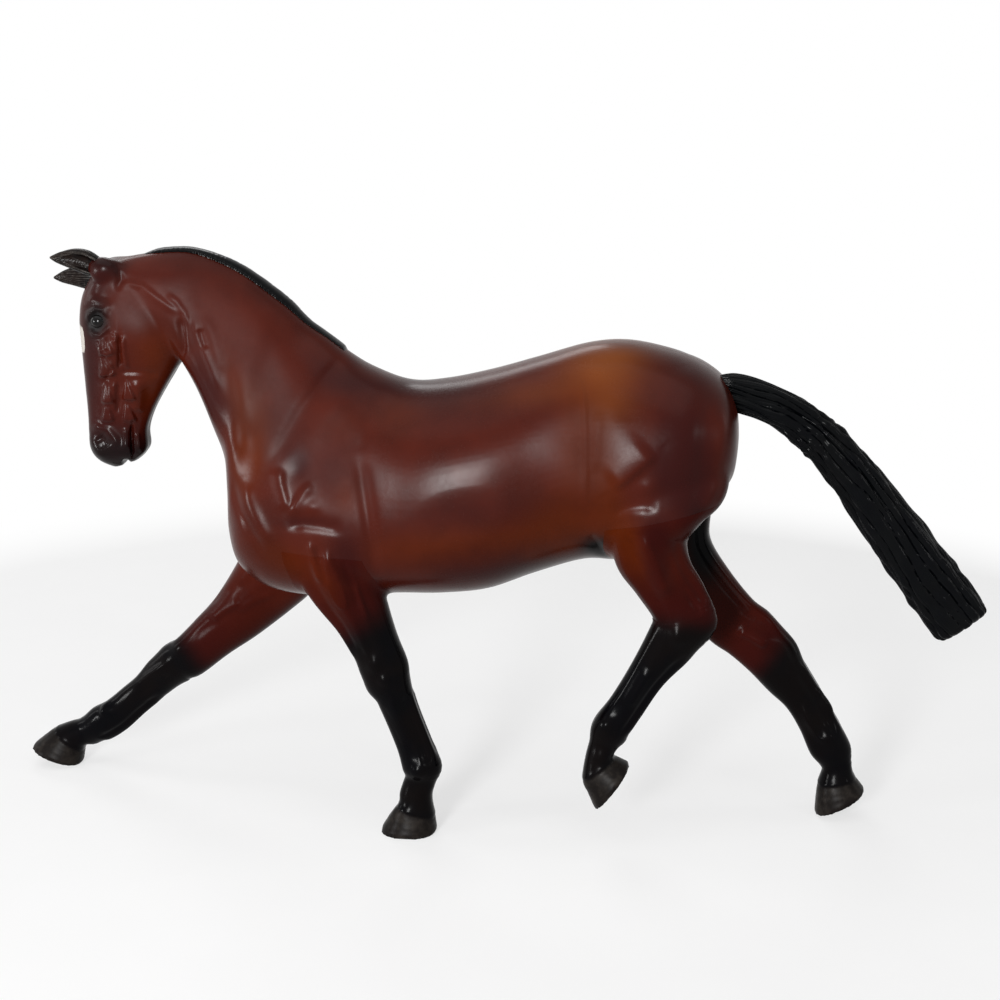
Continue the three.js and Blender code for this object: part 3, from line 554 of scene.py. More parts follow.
# Matt card: a broad even white, with a grain that is hardly seen.
material, tree, shader = shade("white card, matt")
shader.inputs["Roughness"].default_value = studio["rough"]
shader.inputs["Specular IOR Level"].default_value = studio["specular"]
place = node(tree, "place")
grain = node(tree, "range", node(tree, "noise", place, *studio["grain"]), *studio["grained"])
card = node(tree, "mix", grain, *[linear(c) for c in studio["card"]])
tree.links.new(node(tree, "mix", node(tree, "diffuseRay"), card, linear(studio["bounce"])),
               shader.inputs["Base Color"])
far = node(tree, "range", node(tree, "length", place), *studio["shadowReach"])
seen = node(tree, "multiply", node(tree, "larger", far, studio["lit"]),
            node(tree, "larger", node(tree, "cameraRay"), node(tree, "glossyRay")))
tree.links.new(node(tree, "either", seen, shader.outputs[0], node(tree, "shining", studio["white"], 1.0)),
               tree.nodes["Material Output"].inputs["Surface"])
floor.data.materials.append(material)
print("stage: camera, lamps and floor")

# The sculpt: one skin over body, head and legs.
sculpt = {"voxel": 0.5, "quickVoxel": 0.75, "fine": 8, "sides": 96, "limbSides": 72, "stubSides": 32,
          "evenRounds": 3, "evenBack": 0.52, "blendRounds": 26, "blendReach": 5.0, "neckBlend": 6.0,
          "legFine": 2.0, "legTop": 6, "legFall": 40, "headFine": 1.5, "headBehind": 20, "headInside": -3,
          "fineBack": 0.5, "lastEven": 0.35}
bodyTable, headTable = bodyRows(sculpt["fine"]), headRows(sculpt["fine"])
plans = {name: legPlan(name, sculpt["fine"]) for name in legs}
skins = [closedSkin(sections(bodyTable, sculpt["sides"])), closedSkin(sections(headTable, sculpt["sides"]))]
skins += [closedSkin(sections(plans[name][0], sculpt["limbSides"])) for name in legs]
mouth = {"forward": 0.012, "up": 0.985, "deep": 3.6, "open": 2.8, "end": 0.9, "across": 30}
mouthX, mouthZ = headPoint(mouth["up"], mouth["forward"])
# The head swells round an ear's root: share of the ear's length, share of its half depth and width.
stubShares = np.array([[-0.50, 0.45], [-0.30, 0.95], [-0.10, 1.12], [0.08, 1.02], [0.20, 0.70], [0.26, 0.30]])
stubWidthShare = 0.55


def earAxes(name):
    # an ear's root and the ways that it points and faces upwards, seen from the side, and its place
    # across: the way ahead is (-cos, sin) of its rise, and the way up is that turned a quarter
    side, rise, down, forward, out = ears[name]
    rise = math.radians(rise)
    ahead = np.array([-math.cos(rise), math.sin(rise)])
    over = np.array([ahead[1], -ahead[0]])
    return np.array(headPoint(down, forward)), ahead, over, side, out * head["width"] / 2


for name in ("ear_left", "ear_right"):
    root, ahead, over, side, out = earAxes(name)
    centre = root + ears["length"] * stubShares[:, :1] * ahead
    half = stubShares[:, 1:] * ears["depth"] / 2 * over
    y = np.full(len(stubShares), side * out)
    wide = stubShares[:, 1] * ears["width"] * stubWidthShare
    stub = between(np.column_stack([centre - half, centre + half, y, wide, 0 * y]), 6)
    skins.append(closedSkin(sections(stub, sculpt["stubSides"])))
horse = joined("sculpt", skins)
# the slit between the lips is a wedge across the head
o, e, d = mouth["open"] / 2, mouth["end"] / 2, mouth["deep"]
wedge = np.array([[mouthX + a, y, mouthZ + h] for y in (-mouth["across"], mouth["across"])
                  for a, h in ((-o, -d), (o, -d), (e, d), (-e, d))])
wedgeFaces = np.array([[0, 1, 2, 3], [7, 6, 5, 4], [0, 4, 5, 1], [1, 5, 6, 2], [2, 6, 7, 3], [3, 7, 4, 0]])
voxel = sculpt["voxel"]
carve(turnedOut(remeshed(horse, voxel)), "DIFFERENCE", turnedOut(newObject("wedge", wedge, wedgeFaces)))
remeshed(horse, voxel)
print("sculpt:", len(horse.data.polygons), "faces after the remesh")


def sectionDistance(points, table, every=4, reach=9.0, far=99.0):
    # how far outside a loft a point lies, near enough, and its row: its way off the middle line
    # in shares of the nearest section's half depth and half width, less one, times the smaller
    low = np.minimum(table[:, [0, 1]], table[:, [2, 3]]).min(0) - reach
    high = np.maximum(table[:, [0, 1]], table[:, [2, 3]]).max(0) + reach
    near = np.all((points[:, [0, 2]] > low) & (points[:, [0, 2]] < high), axis=1)
    off, rows = np.full(len(points), far), np.zeros(len(points))
    rows[near], h, w, y, signed = sectionAt(points[near], table, every)
    k = np.hypot(signed / h, (points[near, 1] - y) / w)
    off[near] = (k - 1) * np.minimum(h, w)
    return off, rows


def sectionAt(points, table, every=4):
    # the row nearest to each point with its half depth, half width, middle and signed distance
    picked = np.unique(np.append(np.arange(0, len(table), every), len(table) - 1))
    middle = (table[picked][:, [0, 1]] + table[picked][:, [2, 3]]) / 2
    half = np.linalg.norm(table[:, 2:4] - table[:, 0:2], axis=1) / 2
    _, signed, share = alongLine(points[:, [0, 2]], middle)
    run = np.concatenate([[0], np.cumsum(np.linalg.norm(np.diff(middle, axis=0), axis=1))])
    row = np.interp(share * run[-1], run, picked)
    k = np.arange(len(table))
    return (row, np.interp(row, k, half), np.interp(row, k, table[:, 5]),
            np.interp(row, k, table[:, 4]), signed)


# Points where a leg or the head runs into the body are evened out more than the rest.
verts = places(horse)
bodyOff = sectionDistance(verts, bodyTable)[0]
weight = np.zeros(len(verts))
for name in legs:
    legOff = sectionDistance(verts, plans[name][0])[0]
    both = np.maximum(np.abs(legOff), np.abs(bodyOff))
    weight = np.maximum(weight, smooth(1 - both / sculpt["blendReach"]))
headOff = sectionDistance(verts, headTable)[0]
both = np.maximum(np.abs(headOff), np.abs(bodyOff))
weight = np.maximum(weight, smooth(1 - both / sculpt["neckBlend"]))
relax(horse, np.ones(len(verts)), sculpt["evenRounds"], sculpt["evenBack"])
relax(horse, weight, sculpt["blendRounds"])
print("sculpt: junctions evened")


def refine(obj, chosen):
    # every edge with both ends chosen is halved, and faces left with over four corners are parted
    bm = bmesh.new()
    bm.from_mesh(obj.data)
    bm.verts.ensure_lookup_table()
    edges = [e for e in bm.edges if chosen[e.verts[0].index] and chosen[e.verts[1].index]]
    bmesh.ops.subdivide_edges(bm, edges=edges, cuts=1, use_grid_fill=True, smooth=0.0)
    bmesh.ops.triangulate(bm, faces=[f for f in bm.faces if len(f.verts) > 4])
    bm.to_mesh(obj.data)
    bm.free()


# The head, with its small forms, and the legs get a mesh of half the size.
verts = places(horse)
high = sculpt["legFall"] * (verts[:, 2] > trunk["belly"] + sculpt["legTop"])
off = [np.abs(sectionDistance(verts, plans[name][0])[0]) + high for name in legs]
ahead = (verts[:, 0] < headPoint(0, 0)[0] + sculpt["headBehind"]) & (bodyOff > sculpt["headInside"])
refine(horse, (headOff < sculpt["headFine"]) & ahead | (np.min(off, axis=0) < sculpt["legFine"]))
relax(horse, np.ones(len(horse.data.vertices)), 1, sculpt["fineBack"])
print("sculpt:", len(horse.data.polygons), "faces in all")


# Relief of the skin.
# Modelled in the photograph's pixels on the left side and mirrored to the right. Strokes are
# (points, width in pixels, height in mm), swells (u, v, radius, radius, turn, height in mm).
headRelief = {
    "strokes": [
        [[(87, 323), (90, 314), (96, 309), (103, 310), (109, 319)], (3.2, 1.7), 0.62],
        [[(89, 328), (94, 334), (100, 335), (106, 330), (109, 324)], (1.7, 2.6), 0.45],
        [[(86, 304), (94, 300), (104, 303), (112, 312)], 4.2, 0.42],
        [[(97, 340), (99, 346), (104, 352)], 2.2, 0.34], [[(105, 337), (108, 343), (107, 350)], 2.0, 0.30],
        [[(112, 331), (116, 336), (115, 343)], 1.8, 0.36],
        [[(98, 352), (108, 353), (116, 350)], (11.0, 2.8), 0.80],
        [[(98, 374), (108, 374), (117, 372)], (13.0, 2.8), 0.95],
        [[(117, 334), (117, 350), (117, 371)], (1.8, 13.0), 0.62],
        [[(119, 332), (118.8, 348), (119, 370)], (2.4, 1.8), -0.55],
        [[(122, 334), (123.5, 350), (126, 364), (129, 370)], (3.0, 2.2), 0.50],
        [[(119, 372), (129, 372), (143, 373), (160, 377)], (5.0, 2.6), -0.42],
        [[(101, 354), (107, 362), (113, 372)], 2.0, -0.34],
        [[(115, 366), (109, 374), (104, 384)], 2.0, -0.34],
        [[(101, 399), (109, 400), (115, 398)], (12.0, 3.4), 0.80],
        [[(101, 418), (109, 419), (115, 417)], (12.0, 3.4), 0.85],
        [[(114, 380), (114, 395), (114.5, 414)], (3.0, 10.0), 0.50],
        [[(122, 396), (130, 397), (136, 394)], (13.0, 3.4), 0.85],
        [[(122, 417), (130, 418), (136, 415)], (13.0, 4.4), 0.95],
        [[(137, 378), (137.5, 395), (136, 414)], (7.0, 8.0), 0.70],
        [[(118.5, 380), (118, 395), (118, 414)], 3.0, -0.45],
        [[(91, 430), (99, 427), (108, 430), (115, 439), (118, 449)], 4.0, 0.55],
        [[(91, 432), (93, 443), (99, 454), (107, 458)], 3.4, 0.25],
        [[(98, 436), (103, 441), (106, 448)], 4.4, -0.80],
        [[(125, 427), (126, 438), (126, 450)], 2.8, 0.50],
        [[(132, 422), (132, 434), (132.5, 447), (133.5, 460)], 1.6, -1.10],
        [[(137, 431), (138, 441), (138, 452)], 2.4, 0.40],
        [[(119, 285), (130, 283), (142, 286), (156, 297), (172, 308), (183, 315)], (2.6, 4.2), 0.42],
        [[(166, 293), (177, 302), (185, 313), (190, 328)], (2.4, 3.2), 0.36],
        [[(181, 316), (183, 332), (184, 347), (182, 360)], (2.4, 4.4), -0.70],
        [[(112, 262), (119, 268), (121, 280), (115, 292)], 3.4, -0.50]],
    "swells": [
        [98, 321, 9, 10, 0, -0.40], [97, 282, 8, 12, 0, 0.40], [107, 297, 7, 7, 0, -0.35],
        [152, 335, 26, 36, 0, 0.15], [104, 268, 9, 8, 0, 0.5], [142, 447, 7, 10, 0, 0.45],
        [122, 450, 8, 8, 0, 0.25], [150, 400, 9, 20, 20, -0.30]]}
bodyRelief = {
    "strokes": [
        [[(150, 278), (205, 274), (245, 290), (278, 318), (308, 350)], (9.0, 32.0), 0.30],
        [[(199, 328), (202, 338), (206, 350)], (3.4, 3.0), -0.62],
        [[(192, 312), (197, 330), (204, 350), (212, 370), (222, 394)], (5.5, 3.4), 0.42],
        [[(202, 314), (211, 332), (216, 352), (224, 378)], (6.0, 5.0), 0.36],
        [[(190, 345), (198, 366), (208, 392), (222, 428), (233, 458)], 8.0, 0.36],
        [[(218, 350), (230, 385), (241, 430), (247, 462)], 8.0, -0.30],
        [[(350, 350), (325, 378), (300, 412), (282, 445), (268, 468)], (11.0, 6.5), -0.42],
        [[(356, 380), (340, 400), (320, 428), (305, 452)], 11.0, 0.34],
        [[(392, 386), (372, 412), (360, 440), (356, 460)], 8.0, -0.26],
        [[(279, 466), (281, 484), (285, 499), (289, 512)], (4.0, 9.0), 0.50],
        [[(313, 482), (304, 492), (297, 503), (291, 516)], (7.0, 3.4), 0.62],
        [[(232, 470), (233, 490), (240, 512), (252, 535), (266, 556)], (5.0, 3.6), -0.44],
        [[(244, 480), (250, 502), (260, 524), (272, 546)], 6.0, 0.42],
        [[(284, 529), (292, 526.5), (303, 525), (320, 527), (345, 532)], (9.0, 4.6), -0.52],
        [[(357, 450), (361, 480), (366, 512), (371, 545), (375, 580)], (8.0, 6.0), -0.62],
        [[(578, 372), (583, 392), (585, 412), (586, 440), (586, 502)], (2.6, 3.6), 0.20],
        [[(598, 408), (597, 440), (594, 476)], 6.0, 0.20],
        [[(656, 452), (640, 466), (626, 478), (611, 489)], (5.0, 20.0), 0.75],
        [[(613, 519), (621, 510), (630, 507.5), (642, 507), (660, 509)], (9.0, 4.6), -0.44],
        [[(716, 388), (706, 420), (702, 455), (699, 492), (691, 522)], 8.0, -0.26],
        [[(728, 400), (723, 440), (717, 480), (703, 520)], 6.0, 0.26],
        [[(720, 372), (729, 384), (735, 402), (737, 424)], 3.4, -0.26],
        [[(588, 534), (600, 549), (616, 560)], 5.0, -0.55],
        [[(700, 360), (670, 372), (645, 392)], 11.0, -0.20],
        [[(612, 366), (625, 392), (628, 425)], 11.0, -0.16]],
    "swells": [
        [255, 320, 40, 38, 20, 0.45], [300, 352, 30, 26, 30, 0.25], [296, 470, 12, 14, 30, -0.45],
        [334, 478, 20, 34, 8, 0.25], [312, 507, 9, 7, 0, 0.50], [251, 520, 12, 28, -20, 0.35],
        [601, 372, 18, 11, 0, 0.35], [622, 446, 20, 30, 10, 0.25], [649, 488, 10, 8, 0, 0.45],
        [640, 530, 16, 12, 0, 0.25], [680, 450, 18, 46, 5, 0.30], [440, 470, 74, 46, 0, 0.30],
        [540, 470, 34, 50, 0, -0.30], [345, 392, 26, 18, -20, 0.20], [690, 375, 30, 16, 15, 0.15]]}
# The right legs stand elsewhere, so marks near them are turned about a point and moved there:
# (least u, greatest u, least v, pivot u, pivot v, turn in degrees, move u, move v).
rightMoves = [(262, 392, 455, 330, 470, 24, -34, -2), (606, 700, 430, 680, 440, -30, 4, 0)]


def turned(uv, pivot, degrees, move):
    # pivot + (way from the pivot, turned by the angle) + move
    c, s = math.cos(math.radians(degrees)), math.sin(math.radians(degrees))
    d = uv - pivot
    return pivot + np.stack([d[:, 0] * c - d[:, 1] * s, d[:, 0] * s + d[:, 1] * c], 1) + move


def marks(uv, relief, onRight=False):
    # the sum of all strokes and swells at each pixel place
    total = np.zeros(len(uv))
    for line, width, height in relief["strokes"]:
        total += height * stroke(uv, seat(line, onRight), width)
    for u, v, ru, rv, angle, height in relief["swells"]:
        (u, v), = seat([(u, v)], onRight)
        total += height * blob(uv, u, v, ru, rv, angle)
    return total


def seat(line, onRight):
    # a mark's points, moved where the right leg stands if the whole mark lies near the leg
    line = np.array(line, float)
    if onRight:
        for u0, u1, v0, pu, pv, degrees, du, dv in rightMoves:
            if np.all((line[:, 0] > u0) & (line[:, 0] < u1) & (line[:, 1] > v0)):
                return turned(line, np.array([pu, pv]), degrees, np.array([du, dv]))
    return line


def legPlace(points, name):
    # where a point lies on a leg: its table row and its angle from the front, 90 outwards, as the
    # arctangent of (way out / half width) over (way ahead / half depth)
    row, half, width, y, signed = sectionAt(points, plans[name][0], 2)
    angle = np.degrees(np.arctan2((points[:, 1] - y) / width * legs[name]["side"], -signed / half))
    return row / sculpt["fine"], angle


def hoofPlace(points, name):
    # a point in the hoof's own shares, turned back by its tilt: along the sole and above it
    ahead, out, lift, tilt = legs[name]["sole"]
    c, s = math.cos(math.radians(tilt)), math.sin(math.radians(tilt))
    r = np.array(hoofShares)[-1]
    x, z = r[[0, 2]] * hoof["length"], r[[1, 3]] * hoof["height"]
    drop = (z * c - x * s).min() - lift
    px, pz = points[:, 0] + ahead, points[:, 2] + drop
    return (px * c - pz * s) / hoof["length"], (pz * c + px * s) / hoof["height"]


def coronetHeight(along):
    # height of the coronet over a place along the sole, on the line through its two ends, in shares
    a, b = hoofShares[0][:2], hoofShares[0][2:4]
    return a[1] + (b[1] - a[1]) * (along - a[0]) / (b[0] - a[0])


# Marks along a leg: (row, angle, row spread, angle spread, height in mm), and lines from one
# (row, angle) to another: (row, angle, row, angle, angle width, height). 90 is the outer side.
foreMarks = {
    "lumps": [
        (4.0, 90, 1.2, 45, 0.55), (4.2, 20, 1.3, 30, 0.40), (4.0, 170, 1.2, 30, 0.35),
        (7.2, 15, 0.60, 38, 0.55), (8.1, 0, 0.45, 34, 0.42), (7.7, 90, 0.70, 30, 0.30),
        (7.7, -90, 0.70, 30, 0.30), (7.3, 180, 0.50, 34, 0.50), (8.8, 0, 0.40, 40, -0.22),
        (6.2, 60, 0.7, 30, -0.22), (12.0, 90, 0.55, 40, 0.34), (12.0, -90, 0.55, 40, 0.34),
        (12.2, 180, 0.45, 40, 0.50), (12.9, 0, 0.4, 50, -0.20), (13.1, 180, 0.5, 40, -0.30)],
    "lines": [
        (3.4, 62, 6.0, 52, 9, -0.40), (3.6, 38, 6.4, 30, 8, 0.30), (3.4, 88, 6.4, 78, 9, 0.40),
        (3.6, 118, 6.6, 128, 10, -0.34), (3.4, -70, 6.2, -60, 12, -0.30), (9.0, 128, 11.6, 124, 11, -0.46),
        (9.0, -128, 11.6, -124, 11, -0.46), (9.0, 160, 11.6, 156, 12, 0.30),
        (9.0, -160, 11.6, -156, 12, 0.30), (9.0, 72, 11.6, 70, 12, 0.16), (9.2, 96, 11.8, 104, 6, 0.14)]}
hindMarks = {
    "lumps": [
        (3.2, 50, 0.8, 40, 0.40), (4.6, 95, 1.1, 34, 0.42), (5.2, 178, 1.0, 22, 0.2),
        (8.0, 178, 0.50, 24, 0.65), (8.2, 90, 0.70, 32, 0.28), (8.4, -80, 0.70, 34, 0.34),
        (8.6, 5, 0.8, 34, 0.26), (7.1, 120, 0.7, 22, -0.62), (7.1, -120, 0.7, 22, -0.62),
        (12.0, 90, 0.55, 40, 0.34), (12.0, -90, 0.55, 40, 0.34), (12.2, 180, 0.45, 40, 0.46),
        (12.9, 0, 0.4, 50, -0.20), (13.0, 180, 0.4, 40, -0.28)],
    "lines": [
        (3.6, 128, 7.4, 142, 11, -0.50), (3.6, -128, 7.4, -142, 11, -0.46), (4.0, 70, 7.6, 62, 10, -0.30),
        (4.0, 48, 7.4, 40, 9, 0.24), (9.3, 128, 11.6, 124, 11, -0.44), (9.3, -128, 11.6, -124, 11, -0.44),
        (9.2, 160, 11.6, 156, 12, 0.28), (9.2, -160, 11.6, -156, 12, 0.28), (9.0, 40, 11.4, 50, 10, 0.18)]}
legMarks = {
    "foreleg_left": (foreMarks, 0.0, 1.0), "foreleg_right": (foreMarks, 0.4, 1.04),
    "hindleg_left": (hindMarks, 0.0, 1.0), "hindleg_right": (hindMarks, 0.6, 1.055)}
kneeRows = {"lumps": 5, "lines": 8}


def legRelief(row, angle, name, fade=0.5):
    # height * exp(-(rows off / spread)^2 - (angle off / spread)^2) for lumps, and for lines the
    # same across them; below the knee the rows run later or further apart than on the first leg
    table, late, stretch = legMarks[name]
    total = np.zeros(len(row))
    for r, a, dr, da, height in table["lumps"]:
        r = r * stretch + late if r > kneeRows["lumps"] else r
        off = (angle - a + 180) % 360 - 180
        total += height * np.exp(-((row - r) / dr) ** 2 - (off / da) ** 2)
    for r0, a0, r1, a1, width, height in table["lines"]:
        r0 = r0 + late if r0 > kneeRows["lines"] else r0
        r1 = r1 * stretch + late / 2 if r1 > kneeRows["lines"] else r1
        t = np.clip((row - r0) / (r1 - r0), 0, 1)
        off = (angle - a0 - (a1 - a0) * t + 180) % 360 - 180
        ends = smooth((row - r0) / fade + 0.5) * smooth((r1 - row) / fade + 0.5)
        total += height * np.exp(-(off / width) ** 2) * ends
    return total


# A hoof's coronet is a ridge and a groove, (place, spread), in shares of the hoof's height.
hoofRelief = {"coronet": 0.07, "ridge": (-0.02, 0.07), "groove": (0.10, 0.06), "grooveShare": 0.7,
              "rings": 0.015, "ringCount": 4, "ringTop": (0.06, 0.10), "sole": 0.06, "limit": 1.25,
              "lowest": 0.3}
legStrokes = {
    "foreleg_left": [
        [[(308, 540), (313, 558), (322, 584)], (3.0, 4.0), 0.62],
        [[(316, 543), (322, 562), (331, 586)], 2.4, -0.40],
        [[(325, 546), (331, 566), (340, 592), (347, 610)], (4.0, 6.0), 0.85],
        [[(342, 556), (350, 582), (360, 610)], 4.0, -0.36],
        [[(354, 580), (360, 598), (369, 622)], 3.0, 0.40],
        [[(389, 692), (396, 710), (405, 733), (410, 746)], (3.0, 4.4), 0.55]],
    "foreleg_right": [
        [[(210, 622), (224, 611), (242, 600)], (7.0, 4.0), 0.75],
        [[(206, 606), (224, 592), (246, 582)], 5.0, -0.28],
        [[(236, 612), (256, 600), (276, 592)], 4.0, 0.30],
        [[(130, 689), (148, 676), (170, 660)], 3.0, 0.34], [[(136, 697), (154, 684), (172, 672)], 3.4, -0.24],
        [[(101, 717), (105, 708), (111, 701)], 2.4, 0.36]],
    "hindleg_left": [
        [[(641, 532), (649, 550), (659, 572), (669, 600)], (6.0, 8.0), 1.00],
        [[(664, 548), (674, 572), (682, 596)], 5.0, -0.32],
        [[(688, 548), (696, 572), (706, 592), (714, 608)], 3.4, 0.36],
        [[(681, 582), (692, 600), (703, 616)], 4.0, -0.34],
        [[(652, 668), (640, 688), (627, 710)], (4.0, 9.0), 0.60]],
    "hindleg_right": [
        [[(736, 630), (752, 637), (768, 648)], (8.0, 4.0), 0.80],
        [[(736, 608), (756, 616), (776, 630)], 4.4, -0.28],
        [[(816, 686), (824, 700), (832, 716)], 2.6, 0.36],
        [[(801, 702), (809, 720), (820, 738), (830, 744)], (3.0, 4.0), 0.45]]}
legSwells = {
    "foreleg_left": [[374, 664, 8, 9, 0, 0.95], [384, 680, 6, 6, 0, 0.60], [392, 706, 6, 12, -20, 0.25],
                     [333, 585, 14, 24, -25, 0.5], [418, 771, 7, 8, 0, 0.75], [400, 812, 10, 7, 0, 0.6]],
    "foreleg_right": [[179, 648, 9, 8, -40, 0.9], [106, 710, 7, 7, 0, 0.7],
                      [158, 670, 14, 4, -38, 0.3]],
    "hindleg_left": [[677, 637, 9, 10, 0, 0.95], [704, 608, 9, 12, 0, 0.4], [605, 724, 8, 8, 0, 0.75],
                     [602, 756, 8, 8, 0, 0.5], [634, 692, 9, 14, 30, 0.2]],
    "hindleg_right": [[766, 640, 14, 9, 20, 0.9], [829, 736, 8, 8, 0, 0.8], [811, 722, 7, 12, -35, 0.6],
                      [826, 706, 5, 9, -30, 0.5]]}


def facingEye(outward, least=0.05, fade=0.35):
    # smooth((way out along the way to the camera - least) / fade): 0 for a face seen edge on
    return smooth((outward @ back - least) / fade)


# The skin is a leg's near the leg's sections and below its joint, and the body's elsewhere.
skinEdge = {"legReach": 2.2, "jointFade": 4.0, "middleFade": 1.5, "least": 0.001}
mirror = np.array([1, -1, 1])
verts, outward = places(horse), normals(horse)
skin = np.zeros(len(verts))
legShare = {}
for name in legs:
    off = sectionDistance(verts, plans[name][0])[0]
    joint, down = plans[name][1:3]
    below = (verts - joint) @ down
    legShare[name] = (smooth(1 - off / skinEdge["legReach"])
                      * smooth(below / skinEdge["jointFade"] + 0.5))
onLeg = np.max(list(legShare.values()), axis=0)
for onRight in (False, True):
    at = np.where(verts[:, 1:2] > 0, verts * mirror, verts) if onRight else verts
    side = smooth(verts[:, 1] / skinEdge["middleFade"] + 0.5)
    side = side if onRight else 1 - side
    use = side * facingEye(outward * mirror if onRight else outward)
    near = use > skinEdge["least"]
    uv = toPixels(at[near])
    body = marks(uv, bodyRelief, onRight)
    for name in () if onRight else ("foreleg_left", "hindleg_left"):
        body += sum(height * stroke(uv, line, width) for line, width, height in legStrokes[name])
    body *= 1 - onLeg[near]
    skin[near] += use[near] * (body + marks(uv, headRelief))
for name in legs:
    near = legShare[name] > skinEdge["least"]
    row, angle = legPlace(verts[near], name)
    total = legRelief(row, angle, name)
    along, up = hoofPlace(verts[near], name)
    down = coronetHeight(along) - up
    ridge, groove = [np.exp(-((down - at) / spread) ** 2)
                     for at, spread in (hoofRelief["ridge"], hoofRelief["groove"])]
    total += hoofRelief["coronet"] * (ridge - hoofRelief["grooveShare"] * groove)
    top, fade = hoofRelief["ringTop"]
    horn = smooth((down - top) / fade) * smooth(up / hoofRelief["sole"])
    wall = coronetHeight(along).clip(hoofRelief["lowest"])
    total += horn * hoofRelief["rings"] * np.sin(down / wall * turn * hoofRelief["ringCount"])
    facing = facingEye(outward[near])
    uv = toPixels(verts[near])
    for line, width, height in legStrokes[name]:
        total += facing * height * stroke(uv, line, width)
    for u, v, ru, rv, angle, height in legSwells[name]:
        total += facing * height * blob(uv, u, v, ru, rv, angle)
    skin[near] += legShare[name][near] * np.minimum(total, hoofRelief["limit"])

# Furrows on the middle plane: least x, greatest x, least z, greatest z, width, fade and height.
furrows = {"chest": (-72, -48, 70, 112, 2.6, 2.0, -0.9), "rear": (52, 64, 82, 124, 2.0, 1.6, -1.1),
           "jaw": (-108, -84, 104, 132, 2.2, 2.0, -0.6)}
furrowFade = {"height": 6, "turned": 1.6}
for x0, x1, z0, z1, width, soft, height in furrows.values():
    box = smooth((verts[:, 0] - x0) / soft) * smooth((x1 - verts[:, 0]) / soft)
    for past in (verts[:, 2] - z0, z1 - verts[:, 2]):
        box = box * smooth(past / furrowFade["height"])
    ends = np.clip(np.abs(outward[:, 0]) * furrowFade["turned"], 0, 1)
    skin += height * box * ends * np.exp(-(verts[:, 1] / width) ** 2)
# The left buttock is drawn in towards the thigh, on its rear and lower side only.
hollow = {"x": 58.0, "z": 89.0, "radius": 6.5, "height": -3.0, "way": (0.8, 0, -0.6), "wayFrom": 0.1,
          "wayFade": 0.6, "inwards": 4, "inwardsFrom": 0.3}
facing = smooth((outward @ np.array(hollow["way"]) + hollow["wayFrom"]) / hollow["wayFade"])
facing *= smooth(-verts[:, 1] / hollow["inwards"] + hollow["inwardsFrom"])
skin += hollow["height"] * facing * blob(verts[:, [0, 2]], hollow["x"], hollow["z"],
                                         hollow["radius"], hollow["radius"])
setPlaces(horse, verts + outward * skin[:, None])
relax(horse, np.full(len(verts), sculpt["lastEven"]), 1)


def withinBox(verts, soft=0.5, spare=0.01):
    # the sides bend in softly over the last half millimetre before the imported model's box:
    # limit - soft * e^(-way past the start of the bend / soft); the soles stay on the ground
    half = (cadBox[1][1] - cadBox[0][1]) / 2 / mm - spare
    middle = (cadBox[0][1] + cadBox[1][1]) / 2 / mm - shift[1]
    out = verts[:, 1] - middle
    past = np.maximum(np.abs(out) - (half - soft), 0)
    bent = np.where(past > 0, half - soft * np.exp(-past / soft), np.abs(out))
    return np.stack([verts[:, 0], middle + np.sign(out) * bent, np.maximum(verts[:, 2], spare)], 1)


setPlaces(horse, withinBox(places(horse)))
print("sculpt: relief from", round(float(skin.min()), 2), "to", round(float(skin.max()), 2), "mm")

# Parting the sculpt into its moulded pieces.
parting = {"seam": 0.05, "grow": 1.9, "jointGap": 0.02, "reach": 220.0, "sides": 48}


def blockPast(point, normal, gap=0.0):
    # a large block on the side of a plane that the normal points to
    n = np.array(normal, float) / np.linalg.norm(normal)
    side = np.cross(n, [0, 1, 0] if abs(n[1]) < 0.9 else [1, 0, 0])
    side /= np.linalg.norm(side)
    third = np.cross(n, side)
    r = parting["reach"]
    corners = np.array([[a, b, c] for a in (-r, r) for b in (-r, r) for c in (gap, r)])
    faces = np.array([[0, 1, 3, 2], [4, 6, 7, 5], [0, 4, 5, 1], [2, 3, 7, 6], [0, 2, 6, 4], [1, 5, 7, 3]])
    made = newObject("block", point + corners[:, :1] * side + corners[:, 1:2] * third
                     + corners[:, 2:] * n, faces)
    return turnedOut(made)


def copyOf(obj, name):
    # the same object once more, with a mesh of its own
    made = obj.copy()
    made.data = obj.data.copy()
    made.name = name
    bpy.context.scene.collection.objects.link(made)
    return made


def legCutter(name, gap):
    # a leg's own loft, grown, below the plane of its joint; both moved outwards by the gap
    table, joint, down, _ = plans[name]
    skin = closedSkin(sections(table, parting["sides"], parting["grow"] + gap))
    return carve(turnedOut(newObject("cutter", *skin)), "INTERSECT", blockPast(joint, down, -gap))


turnedOut(horse)
pieces = {name: carve(copyOf(horse, name), "INTERSECT", legCutter(name, 0.0)) for name in legs}
bodyOnly = copyOf(horse, "body")
for name in legs:
    carve(bodyOnly, "DIFFERENCE", legCutter(name, parting["jointGap"]))
for name, side in (("body_shell_left", -1), ("body_shell_right", 1)):
    pieces[name] = carve(copyOf(bodyOnly, name), "INTERSECT",
                         blockPast(np.zeros(3), [0, side, 0], parting["seam"]))
for obj in (bodyOnly, horse):
    bpy.data.objects.remove(obj)
for name, obj in pieces.items():
    print("piece", name, len(obj.data.polygons), "faces")

